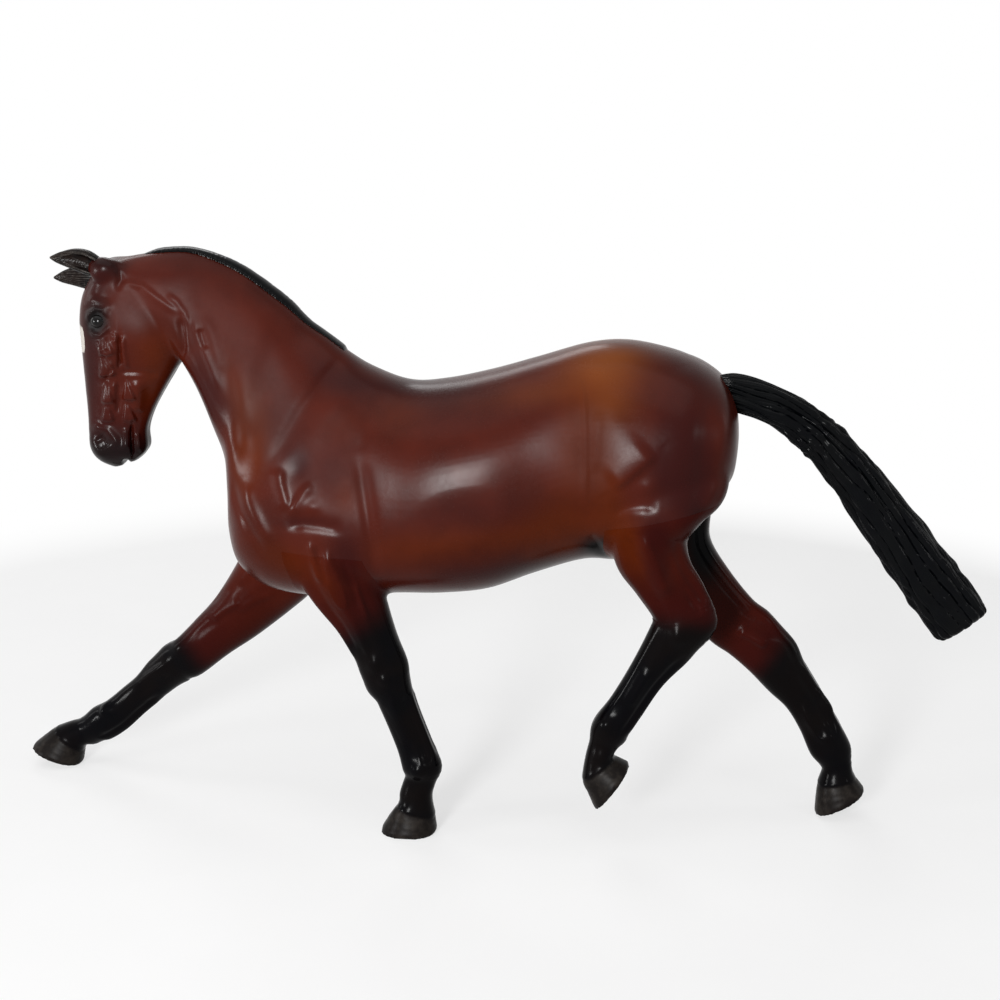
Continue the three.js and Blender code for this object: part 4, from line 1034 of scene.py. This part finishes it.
# Paint: layers kept on the points.
# Patches as (u, v, radius, radius, turn, strength) in the photograph's pixels: airbrushed paint, and some
# painted shade and painted light. The dull ones have no colour: they take the sheen off where the photograph
# shows none.
paintPatches = {
    "glow": [
        [600, 370, 48, 26, 0, 0.95], [606, 470, 20, 70, 0, 0.75], [632, 560, 18, 46, -12, 0.85],
        [540, 545, 70, 26, -12, 0.65], [440, 552, 90, 26, -3, 0.75], [398, 412, 30, 30, 0, 0.45],
        [250, 446, 20, 52, 8, 1.0], [285, 562, 40, 22, 30, 0.55], [338, 612, 12, 40, -20, 0.60],
        [154, 350, 26, 26, 0, 0.60], [150, 395, 16, 30, 20, 0.50], [572, 440, 22, 62, 0, 0.60],
        [480, 398, 60, 16, -6, 0.40], [236, 392, 16, 46, -14, 0.50], [345, 500, 16, 24, 0, 0.45],
        [330, 430, 36, 26, -20, 0.30], [556, 520, 34, 40, 0, 0.45]],
    # The amber on the top of the croup and back is a lighter orange tone, and partly painted light from
    # above.
    "amber_and_top_light": [[602, 366, 34, 20, 0, 0.80], [622, 352, 30, 10, 0, 0.5], [610, 402, 26, 22, 0, 0.40],
              [540, 392, 40, 14, -8, 0.22]],
    "wine_and_shade": [
        [440, 400, 60, 26, 0, 0.45], [345, 565, 22, 40, -25, 0.55], [228, 610, 40, 20, -30, 0.45],
        [300, 430, 50, 36, 20, 0.35], [330, 470, 20, 30, 0, 0.35], [692, 500, 20, 40, 10, 0.75],
        [100, 275, 22, 22, 0, 0.7], [150, 275, 40, 12, 10, 0.35], [760, 600, 26, 30, -20, 0.45],
        # Painted shade, not wine-red paint: the lower barrel and belly [500, 575], [452, 510] and [470, 562],
        # the hollow before the shoulder [297, 464], the crease above the elbow [300, 522] and the fold under
        # the stifle [655, 535].
        [650, 590, 20, 30, -20, 0.35], [112, 440, 40, 40, 0, 0.75], [500, 575, 90, 10, -6, 0.5],
        [452, 510, 84, 22, -4, 0.50], [668, 456, 24, 60, 6, 0.95], [297, 464, 12, 14, 0, 0.85],
        [330, 372, 54, 20, 25, 0.50], [420, 386, 70, 10, 2, 0.60], [200, 380, 18, 44, -15, 0.35],
        [700, 440, 20, 60, 0, 0.60], [300, 522, 30, 8, 0, 0.6], [92, 380, 12, 60, 0, 0.5],
        [660, 570, 16, 34, -10, 0.55], [690, 372, 30, 14, 20, 0.3], [470, 562, 130, 22, -5, 0.55],
        [215, 400, 16, 40, -20, 0.5], [92, 330, 14, 50, 0, 0.5], [655, 535, 18, 16, 0, 0.6],
        [350, 540, 20, 26, 0, 0.4]],
    "dull": [
        [236, 345, 34, 64, -20, 1.0], [212, 300, 44, 26, 30, 0.85], [330, 468, 26, 46, 5, 1.0],
        [312, 432, 30, 24, 0, 0.85], [590, 450, 24, 52, 0, 0.9], [128, 300, 30, 34, 0, 0.8],
        [98, 323, 12, 12, 0, 1.0], [560, 440, 24, 40, 0, 0.5], [268, 420, 20, 50, 0, 0.5],
        [350, 486, 22, 40, 0, 0.6], [720, 450, 20, 50, 0, 0.5]],
    "black_and_shade": [
        [96, 322, 13, 16, 0, 0.85], [104, 262, 22, 9, 8, 0.55], [98, 296, 15, 30, 0, 0.38],
        # Painted shade, not black paint: the groin [602, 550], the belly's underside [548, 562], the inner
        # right thigh between the legs [702, 536], under the tail's root [728, 392] and behind the elbow [372,
        # 590].
        [88, 380, 9, 50, 0, 0.30], [118, 275, 9, 12, 0, 0.35], [602, 550, 24, 13, 16, 1.0],
        [548, 562, 50, 10, -14, 0.30], [702, 536, 14, 30, -8, 0.85], [728, 392, 8, 14, -20, 0.35],
        [372, 590, 10, 16, 0, 0.45]]}
# Where the black of each leg begins: a place on the photograph, the way down, its fade.
legSoot = {"foreleg_left": [(366, 622), (0.50, 0.87), 52], "foreleg_right": [(193, 649), (-0.80, 0.60), 44],
           "hindleg_left": [(684, 622), (-0.12, 0.99), 40], "hindleg_right": [(777, 648), (0.78, 0.62), 40]}
# The painted shadow on the inner right thigh, the muzzle's black, the wine above each leg's black, and the
# horn.
darkPatch = {"thigh": (702, 545, 20, 48, -8), "thighStrength": 1.1, "chinTop": 408, "chinFade": 46,
             "chinBack": 170, "chinBackFade": 12, "chin": 0.80, "wine_and_shade": 0.8, "wineFade": 110,
             "wineAbove": 0.95, "hornAbove": 0.22, "hornFade": 0.60}
star = {"pixel": (83, 336), "halfWidth": 9.0, "halfHeight": 3.9, "size": 1.6, "edge": 1.1, "facing": 0.63,
        "facingFade": 0.12, "depth": 8}


def paint(points, normal, name):
    # strength of every paint at each point, painted shade and painted light too: sums of soft patches,
    # and for the leg black and horn the distance past a line across the leg
    isLeg = name in legs
    at = points if isLeg else np.where(points[:, 1:2] > 0, points * mirror, points)
    uv = toPixels(at)
    out = {key: np.minimum(sum(k * blob(uv, u, v, ru, rv, a) for u, v, ru, rv, a, k in patches), 1.0)
           for key, patches in paintPatches.items()}
    out["horn"], out["star"] = np.zeros(len(points)), np.zeros(len(points))
    if isLeg:
        middle, way, fade = legSoot[name]
        out["black_and_shade"] = np.maximum(out["black_and_shade"] * (name == "hindleg_right"),
                                 smooth(((uv - middle) @ way) / fade + 0.5))
        if name == "hindleg_right":
            # painted shadow on the inner right thigh, between the hind legs
            out["black_and_shade"] = np.maximum(out["black_and_shade"], darkPatch["thighStrength"] * blob(uv, *darkPatch["thigh"]))
        above = smooth(((uv - middle) @ way) / darkPatch["wineFade"] + darkPatch["wineAbove"])
        out["wine_and_shade"] = np.maximum(out["wine_and_shade"], darkPatch["wine_and_shade"] * above)
        along, up = hoofPlace(points, name)
        below = coronetHeight(along) - up
        out["horn"] = smooth((below + darkPatch["hornAbove"]) / darkPatch["hornFade"])
    else:
        chin = (smooth((uv[:, 1] - darkPatch["chinTop"]) / darkPatch["chinFade"])
                * smooth((darkPatch["chinBack"] - uv[:, 0]) / darkPatch["chinBackFade"]))
        out["black_and_shade"] = np.maximum(out["black_and_shade"], darkPatch["chin"] * chin)
        centre = fromPixel(*star["pixel"], 0)
        off = np.hypot(points[:, 1] / star["halfWidth"], (points[:, 2] - centre[2]) / star["halfHeight"])
        front = smooth((-normal[:, 0] - star["facing"]) / star["facingFade"])
        out["star"] = (smooth(star["size"] - off * star["edge"]) * front
                       * (points[:, 0] < centre[0] + star["depth"]))
    return out


def keepLayers(obj, layers):
    # each layer as a number on the mesh's points
    for key, values in layers.items():
        made = obj.data.attributes.new(key, "FLOAT", "POINT")
        made.data.foreach_set("value", np.clip(values, 0, 1).astype(np.float32))


# Airbrushed ABS-like plastic, rubbed by play: a bay ground with orange and wine-red shades, black points
# and dull horn, with painted shade on the lower barrel, belly, groin, inner right thigh, hollows and
# creases, and painted light from above on the croup. The eye reads satin depth on the body and wet gloss
# on the black.
paints = {"bay": "#44150b", "bayDeep": "#370e06", "glow": "#4e1a02", "glowDeep": "#441501",
          "amber_and_top_light": "#6e3711", "wine_and_shade": "#2c0806", "black_and_shade": "#030305", "sootWarm": "#080505", "star": "#b8b2ab",
          "horn": "#141110", "hornPale": "#26221f", "speck": "#1c0a08"}
# Roughness and specular of each paint, noises as (size in mm, detail, roughness), the spray as how
# far mottling and grain break up the edge of each layer, and the ranges that noises are taken over.
finish = {"bay": 0.26, "dull": 0.56, "black_and_shade": 0.20, "horn": 0.36, "baySpecular": 0.095, "legSpecular": 0.042,
          "noises": {"mottle": (18.0, 4.0, 0.55), "grain": (1.1, 3.0, 0.6), "ripple": (2.6, 2.0, 0.55),
                     "streak": (3.4, 5.0, 0.65), "patch": (9.0, 3.0, 0.55)},
          "spray": {"glow": (0.4, 0.04), "wine_and_shade": (0.35, 0.04), "black_and_shade": (0.22, 0.12)},
          "mottled": (0.3, 0.7), "shaded": (0.35, 0.65), "streaked": (0.38, 0.68), "hornEdge": (0.3, 0.7),
          "starEdge": (0.35, 0.6), "pits": (0.10, 0.05), "pitPatches": (0.50, 0.66), "speck": 1.6,
          "speckStrength": 0.7, "starGrain": 0.3, "hornGrain": 0.25, "roughMottle": 0.12, "roughGrain": 0.10,
          "rippleHeight": 0.8, "grainHeight": 0.35, "pitHeight": 0.6, "bump": 0.35, "bumpDepth": 0.06}


def perMetre(millimetres):
    # a pattern's scale on object coordinates, which are in metres, from its real size
    return 1 / (millimetres * mm)


def wander(tree, value, noiseValue, amount):
    # value + (noise - 0.5) * amount
    return node(tree, "add", value,
                node(tree, "multiply", node(tree, "subtract", noiseValue, 0.5), amount))


def paintedPlastic(name, specular):
    # each paint in turn: colour = colour * (1 - layer) + paint * layer; the roughness moves by the
    # layer times the step from one finish to the next, and the relief is ripple, grain and pits
    material, tree, shader = shade(name)
    place = node(tree, "place")
    mottle, grain, ripple, streaks, patch = [
        node(tree, "noise", place, perMetre(size), *rest) for size, *rest in finish["noises"].values()]
    sprayed = {}
    for key, (wide, fine) in finish["spray"].items():
        edge = wander(tree, wander(tree, node(tree, "layer", attribute_name=key), mottle, wide), grain, fine)
        sprayed[key] = node(tree, "range", edge, 0.0, 1.0)
    bay, deep, glow, glowDeep, black_and_shade, sootWarm, horn, hornPale = [linear(paints[key]) for key in (
        "bay", "bayDeep", "glow", "glowDeep", "black_and_shade", "sootWarm", "horn", "hornPale")]
    colour = node(tree, "mix", node(tree, "range", mottle, *finish["mottled"]), bay, deep)
    warm = node(tree, "mix", node(tree, "range", mottle, *finish["shaded"]), glow, glowDeep)
    colour = node(tree, "mix", sprayed["glow"], colour, warm)
    colour = node(tree, "mix", node(tree, "layer", attribute_name="amber_and_top_light"), colour, linear(paints["amber_and_top_light"]))
    colour = node(tree, "mix", sprayed["wine_and_shade"], colour, linear(paints["wine_and_shade"]))
    # pits and dust that the paint caught
    cells = node(tree, "cells", place, perMetre(finish["speck"]))
    pitted = node(tree, "multiply", node(tree, "range", cells, *finish["pits"]),
                  node(tree, "range", patch, *finish["pitPatches"]))
    colour = node(tree, "mix", node(tree, "multiply", pitted, finish["speckStrength"]), colour,
                  linear(paints["speck"]))
    black = node(tree, "mix", node(tree, "range", mottle, *finish["shaded"]), black_and_shade, sootWarm)
    colour = node(tree, "mix", sprayed["black_and_shade"], colour, black)
    pale = wander(tree, node(tree, "layer", attribute_name="star"), grain, finish["starGrain"])
    colour = node(tree, "mix", node(tree, "range", pale, *finish["starEdge"]), colour, linear(paints["star"]))
    nail = node(tree, "mix", node(tree, "range", streaks, *finish["streaked"]), horn, hornPale)
    hoofed = wander(tree, node(tree, "layer", attribute_name="horn"), grain, finish["hornGrain"])
    hoofed = node(tree, "range", hoofed, *finish["hornEdge"])
    tree.links.new(node(tree, "mix", hoofed, colour, nail), shader.inputs["Base Color"])
    rough = wander(tree, finish["bay"], mottle, finish["roughMottle"])
    rough = wander(tree, rough, grain, finish["roughGrain"])
    for share, step in ((sprayed["black_and_shade"], finish["black_and_shade"] - finish["bay"]),
                        (hoofed, finish["horn"] - finish["black_and_shade"]),
                        (node(tree, "layer", attribute_name="dull"), finish["dull"] - finish["bay"])):
        rough = node(tree, "add", rough, node(tree, "multiply", share, step))
    tree.links.new(rough, shader.inputs["Roughness"])
    shader.inputs["Specular IOR Level"].default_value = specular
    height = node(tree, "multiply", ripple, finish["rippleHeight"])
    height = wander(tree, height, grain, finish["grainHeight"])
    height = node(tree, "subtract", height, node(tree, "multiply", pitted, finish["pitHeight"]))
    tree.links.new(node(tree, "bump", height, finish["bump"], finish["bumpDepth"] * mm),
                   shader.inputs["Normal"])
    return material


skinFinish = {"bay": paintedPlastic("airbrushed bay plastic", finish["baySpecular"]),
              "leg": paintedPlastic("airbrushed leg plastic", finish["legSpecular"])}


def finished(obj, name, material, sharp=38):
    # (place + shift) in metres, smooth but for its cut rims, with its material and body
    setPlaces(obj, (places(obj) + shift) * mm)
    obj.data.polygons.foreach_set("use_smooth", np.ones(len(obj.data.polygons), bool))
    obj.data.set_sharp_from_angle(angle=math.radians(sharp))
    obj.data.materials.clear()
    obj.data.materials.append(material)
    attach(obj, "root")


for name, obj in pieces.items():
    keepLayers(obj, paint(places(obj), normals(obj), name))
    isLeg = name in legs
    finished(obj, name, skinFinish["leg" if isLeg else "bay"])
    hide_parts(name)
    obj.name = name + "_sculpt"
print("stage: body and legs painted")

# The tail.
tailHair = {"rings": 290, "sides": 330, "locks": 5, "strands": 15, "hairs": 44, "lockDepth": 0.8,
            "strandDepth": 0.70, "hairDepth": 0.16, "beadDepth": 0.20, "bendDepth": 0.30,
            "swing": 0.20, "strandSwing": 1.15, "beadFrom": 0.25, "beadFade": 0.3, "end": 0.03,
            "endRound": 2.0, "deepFrom": 0.05, "deepFade": 0.22, "lockTop": 0.35, "strandTop": 0.5,
            "hairLevel": 0.8, "strandLevel": 0.9, "beadLevel": 0.4, "bendPitch": 3, "bendLean": 0.3}
# Ripples of the hair: height, waves down the tail, and waves about it. Beads: height, waves down
# the tail, and the step in angle from strand to strand.
tailRipples = {"swing": [(0.03, 5, 3)], "locks": [(1.3, 1.5, 0)], "strands": [(1.1, 3.2, 2), (0.8, 0, 5)],
               "hairs": [(2.0, 6, 4)]}
tailBeads = [(1.0, 11, 2.4), (0.5, 19, 4.1)]


def tailTable(steps):
    # centre = root + shares of reach and drop, half sizes = shares of depth and width / 2, set
    # square to the run from the row before to the row after
    x, z = trunkPoint(tail["along"], tail["up"])
    r = np.array(tail["rows"])
    centre = np.stack([x + r[:, 0] * tail["reach"], z - r[:, 1] * tail["drop"]], 1)
    line = np.vstack([centre[:1], centre, centre[-1:]])
    run = line[2:] - line[:-2]
    run /= np.linalg.norm(run, axis=1)[:, None]
    side = np.stack([run[:, 1], -run[:, 0]], 1) * (r[:, 2:3] * tail["depth"] / 2)
    return between(np.column_stack([centre + side, centre - side, 0 * r[:, 0],
                                    r[:, 3] * tail["width"] / 2, 0 * r[:, 0]]), steps)


def wave(t, seed, low=0.5, high=2.2, count=4):
    # a smooth wandering line: the mean of a few sines of random pitch and start
    draw = np.random.default_rng(seed)
    pitch, start = draw.uniform(low, high, count), draw.uniform(0, turn, count)
    return sum(np.sin(turn * p * t + s) for p, s in zip(pitch, start)) / count


def lifted(rows, angle, lift):
    # points of the rounded sections at these angles, moved out of the section by the lift
    base = ringPoints(rows, angle)
    return base + (ringPoints(rows, angle, 1.0) - base) * lift[..., None]


def ridged(phase):
    # the root of |sin(phase / 2)|: round ridges, 1 high, with sharp furrows between them
    return np.sqrt(np.abs(np.sin(phase / 2)))


def rounded(phase, high=0.98):
    # round ridges side by side: a half circle's height over each turn of the phase, high of it
    return np.sqrt(1 - (2 * ((phase / turn) % 1) - 1) ** 2 * high)


def stretched(table, count):
    # a table's rows drawn out evenly to so many
    t = np.linspace(0, 1, count)
    return np.stack([np.interp(t, np.linspace(0, 1, len(table)), table[:, k])
                     for k in range(table.shape[1])], 1)


rows = stretched(tailTable(40), tailHair["rings"])
along, about = np.meshgrid(np.linspace(0, 1, tailHair["rings"]),
                           np.arange(tailHair["sides"]) / tailHair["sides"] * turn, indexing="ij")


def rippled(value, key):
    # value + height * sin(turn * waves down * along + waves about * about), for each ripple
    for height, down, sideways in tailRipples[key]:
        value = value + height * np.sin(turn * down * along + sideways * about)
    return value


swing = rippled(tailHair["swing"] * wave(along, 3), "swing")
locks = rounded(rippled(tailHair["locks"] * (about + swing), "locks"))
phase = rippled(tailHair["strands"] * (about + tailHair["strandSwing"] * swing), "strands")
strands, index = rounded(phase), np.floor(phase / turn)
hairs = rounded(rippled(tailHair["hairs"] * (about + swing), "hairs"))
beads = sum(height * np.sin(turn * down * along + step * index) for height, down, step in tailBeads)
deep = smooth((along - tailHair["deepFrom"]) / tailHair["deepFade"])
lockDeep, strandDeep = [top + (1 - top) * deep for top in (tailHair["lockTop"], tailHair["strandTop"])]
bend = wave(along * tailHair["bendPitch"] + tailHair["bendLean"] * np.sin(about), 5)
grown = (tailHair["lockDepth"] * (locks - 1) * lockDeep
         + tailHair["hairDepth"] * (hairs - tailHair["hairLevel"])
         + tailHair["strandDepth"] * (strands - tailHair["strandLevel"]) * strandDeep
         + tailHair["beadDepth"] * (beads - tailHair["beadLevel"])
         * smooth((along - tailHair["beadFrom"]) / tailHair["beadFade"])
         + tailHair["bendDepth"] * bend * deep)
# the cut end is rounded: a quarter circle over the last share of the length
last = np.clip((along - 1 + tailHair["end"]) / tailHair["end"], 0, 1)
grown -= tailHair["endRound"] * (1 - np.sqrt(1 - last ** 2))
tailPiece = turnedOut(newObject("tail_hair", *closedSkin(lifted(rows, about, grown))))

# The mane.
maneHair = {"rings": 340, "across": 60, "locks": 13, "strands": 34, "sink": 0.35, "lean": 1.6,
            "strandLean": 3.6, "fringe": 0.022, "nearFringe": 0.006, "lockRise": 0.55, "strandRise": 0.35,
            "furrow": 0.24, "under": 0.25, "startFade": 0.03, "endFade": 0.12, "lockWave": (0.35, 9),
            "nearWave": 30, "strandWave": 14, "fringeLevel": 0.55, "middle": 0.5, "near": 0.3,
            "edge": 0.04}
first = (len(trunkShares) - mane["under"]) * sculpt["fine"]
own = stretched(bodyTable[first:first + (len(mane["rows"]) - 1) * sculpt["fine"] + 1], maneHair["rings"])
cover = stretched(between(mane["rows"], sculpt["fine"]), maneHair["rings"])
along, across = np.meshgrid(np.linspace(0, 1, maneHair["rings"]), np.linspace(0, 1, maneHair["across"]),
                            indexing="ij")
swing, pitch = maneHair["lockWave"]
lean = along * maneHair["locks"] + maneHair["lean"] * across + swing * wave(along * pitch, 8)
farSide = smooth((across - maneHair["middle"]) / maneHair["middle"])
nearSide = smooth((maneHair["near"] - across) / maneHair["near"])
fringe = (maneHair["fringe"] * (ridged(turn * lean) - maneHair["fringeLevel"]) * farSide
          + maneHair["nearFringe"] * wave(along * maneHair["nearWave"], 9) * nearSide)
angle = math.pi * (cover[:, :1] + (cover[:, 1:2] - cover[:, :1]) * across + fringe)
strand = (along * maneHair["strands"] + maneHair["strandLean"] * across
          + wave(along * maneHair["strandWave"], 10))
hair = maneHair["lockRise"] * rounded(turn * lean) + maneHair["strandRise"] * rounded(turn * strand)
roundOff = np.sqrt(np.sin(math.pi * (maneHair["edge"] + (1 - 2 * maneHair["edge"]) * across)))
grooved = 1 - maneHair["furrow"] * smooth(across / maneHair["middle"]) * (1 - hair)
lift = mane["thickness"] * cover[:, 2:3] * roundOff * grooved
ends = smooth(along / maneHair["startFade"]) * smooth((1 - along) / maneHair["endFade"])
outer = lifted(own, angle, lift * ends - maneHair["sink"] * (1 - ends))
inner = lifted(own, angle[:, ::-1], np.full(angle.shape, -maneHair["sink"] - maneHair["under"]))
manePiece = turnedOut(newObject("mane_hair", *closedSkin(np.concatenate([outer, inner], axis=1))))

# The ears.
earForm = {"voxel": 0.2, "sides": 72, "steps": 10, "cupDepth": 0.66, "cupWidth": 0.76, "cupOut": 0.5,
           "hairs": 26, "lines": 0.14, "evenRounds": 4, "evenBack": 0.5, "sway": (1.2, 9), "furFrom": 0.02,
          "furFade": 0.2}


def earTable(name, deep, wide, outBy):
    # rows along the ear: centre = root + length * shares along its two ways, half sizes = shares
    # of depth and width / 2, times deep and wide
    root, ahead, over, side, out = earAxes(name)
    r = np.array(ears["rows"])
    centre = root + ears["length"] * (r[:, 0:1] * ahead + r[:, 1:2] * over)
    half = r[:, 2:3] * deep * ears["depth"] / 2 * over
    y = np.full(len(r), side * (out + outBy))
    return between(np.column_stack([centre - half, centre + half, y, r[:, 3] * wide * ears["width"] / 2,
                                    0 * y]), earForm["steps"])


earPieces = {}
for name in ("ear_left", "ear_right"):
    whole = turnedOut(newObject(name, *closedSkin(sections(earTable(name, 1, 1, 0), earForm["sides"]))))
    cup = earTable(name, earForm["cupDepth"], earForm["cupWidth"],
                   ears["width"] * earForm["cupOut"])[earForm["steps"]:]
    carve(whole, "DIFFERENCE", turnedOut(newObject("cup", *closedSkin(sections(cup, earForm["sides"])))))
    remeshed(whole, earForm["voxel"])
    relax(whole, np.ones(len(whole.data.vertices)), earForm["evenRounds"], earForm["evenBack"])
    # hair lines run along the ear, side by side about its middle
    root, ahead, over, side, out = earAxes(name)
    at, n = places(whole), normals(whole)
    along = (at[:, [0, 2]] - root) @ ahead / ears["length"]
    about = np.arctan2(at[:, 2] - root[1] - ears["length"] * along * ahead[1], (at[:, 1] - side * out) * side)
    swing, pitch = earForm["sway"]
    fur = ridged(earForm["hairs"] * about + swing * np.sin(pitch * along))
    for past in (along - earForm["furFrom"], 1 - along):
        fur = fur * smooth(past / earForm["furFade"])
    setPlaces(whole, at + n * (earForm["lines"] * (fur - 0.5))[:, None])
    earPieces[name] = turnedOut(whole)

# The eyes.
eye = {"down": 0.268, "forward": 0.150, "out": 0.80, "radius": 2.15, "sink": 0.55, "lower": 0.8,
       "long": 1.08, "high": 0.94, "rings": 40, "sides": 64, "pole": 0.02, "specular": 0.16}
x, z = headPoint(eye["down"], eye["forward"])
polar, about = np.meshgrid(np.linspace(eye["pole"], math.pi - eye["pole"], eye["rings"]),
                           np.arange(eye["sides"]) / eye["sides"] * turn, indexing="ij")
eyePieces = {}
for name, side in (("eye_left", -1), ("eye_right", 1)):
    # a ball, a little long from front to rear: radius * (sin polar cos about, cos polar, sin polar
    # sin about)
    ball = np.stack([x + eye["radius"] * eye["long"] * np.sin(polar) * np.cos(about),
                     side * (eye["out"] * head["width"] / 2 - eye["sink"] + eye["radius"] * np.cos(polar)),
                     z - eye["lower"] + eye["radius"] * eye["high"] * np.sin(polar) * np.sin(about)], -1)
    eyePieces[name] = turnedOut(newObject(name, *closedSkin(ball)))

# Moulded ABS-like plastic in gloss black, its hair lines cut into the tool: a dusty second ground in
# blotches, and the ridges rubbed to a paler paint; the gloss wanders with the blotches.
hairPaint = {"black": "#030406", "blotch": (8.0, 4.0, 0.55), "fine": (1.1, 2.0, 0.55), "specular": 0.06,
             "blotched": (0.35, 0.65), "rubbed": (0.45, 0.9), "fineRub": (0.35, 0.7, 0.2, 0.75),
             "roughBlotch": 0.16, "bump": 0.4, "bumpDepth": 0.06, "sharp": 60}
# The second ground, the paint of what is rubbed, and the roughness.
hairFinish = {"gloss black tail plastic": ("#060708", "#07080a", 0.14),
              "gloss black mane plastic": ("#060708", "#100f0f", 0.20),
              "brushed ear plastic": ("#160d0a", "#4a4541", 0.24),
              "brushed ear plastic, right": ("#160d0a", "#4a4541", 0.24)}


def hairPlastic(name):
    # black and a second ground in blotches, and over them the rubbed paint, as far as a point
    # stands proud times a fine noise
    brown, rubbed, gloss = hairFinish[name]
    material, tree, shader = shade(name)
    place = node(tree, "place")
    blotch, fine = [node(tree, "noise", place, perMetre(size), *rest)
                    for size, *rest in (hairPaint["blotch"], hairPaint["fine"])]
    ground = [linear(hairPaint["black"]), linear(brown)]
    base = node(tree, "mix", node(tree, "range", blotch, *hairPaint["blotched"]), *ground)
    rub = node(tree, "range", node(tree, "layer", attribute_name="rub"), *hairPaint["rubbed"])
    rub = node(tree, "multiply", rub, node(tree, "range", fine, *hairPaint["fineRub"]))
    tree.links.new(node(tree, "mix", rub, base, linear(rubbed)), shader.inputs["Base Color"])
    tree.links.new(wander(tree, gloss, blotch, hairPaint["roughBlotch"]), shader.inputs["Roughness"])
    shader.inputs["Specular IOR Level"].default_value = hairPaint["specular"]
    tree.links.new(node(tree, "bump", fine, hairPaint["bump"], hairPaint["bumpDepth"] * mm),
                   shader.inputs["Normal"])
    return material


def proud(obj, rounds=6, spread=2.2):
    # what a hand rubs first: the way along the normal from the evened mesh to the point, over so
    # many standard deviations, from 0 to 1 with 0.5 for level
    was, n = places(obj), normals(obj)
    relax(obj, np.ones(len(was)), rounds)
    stands = np.sum((was - places(obj)) * n, axis=1)
    setPlaces(obj, was)
    return np.clip(stands / (2 * spread * stands.std() + 1e-9) + 0.5, 0, 1)


for obj, nodeName, slot, material in [
        (tailPiece, "tail", "hair_plastic", "gloss black tail plastic"),
        (manePiece, "mane", "hair_plastic", "gloss black mane plastic"),
        (earPieces["ear_left"], "ear_left", "ear_plastic", "brushed ear plastic"),
        (earPieces["ear_right"], "ear_right", "ear_plastic", "brushed ear plastic, right")]:
    keepLayers(obj, {"rub": proud(obj)})
    finished(obj, nodeName, hairPlastic(material), hairPaint["sharp"])
    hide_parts(nodeName)
# Gloss enamel dotted on by hand: all but black, with one small hard highlight.
eyePaint = {"black": "#050506", "brown": "#150c08", "size": 1.5, "noise": (2.0, 0.55),
            "blended": (0.35, 0.7), "rough": (0.2, 0.8, 0.06, 0.12)}
eyeGloss, tree, shader = shade("polished black eye paint")
iris = node(tree, "noise", node(tree, "place"), perMetre(eyePaint["size"]), *eyePaint["noise"])
tree.links.new(node(tree, "mix", node(tree, "range", iris, *eyePaint["blended"]), linear(eyePaint["black"]),
                    linear(eyePaint["brown"])), shader.inputs["Base Color"])
tree.links.new(node(tree, "range", iris, *eyePaint["rough"]), shader.inputs["Roughness"])
shader.inputs["Specular IOR Level"].default_value = eye["specular"]
for name, obj in eyePieces.items():
    finished(obj, name, eyeGloss, hairPaint["sharp"])
print("stage: tail, mane, ears and eyes")
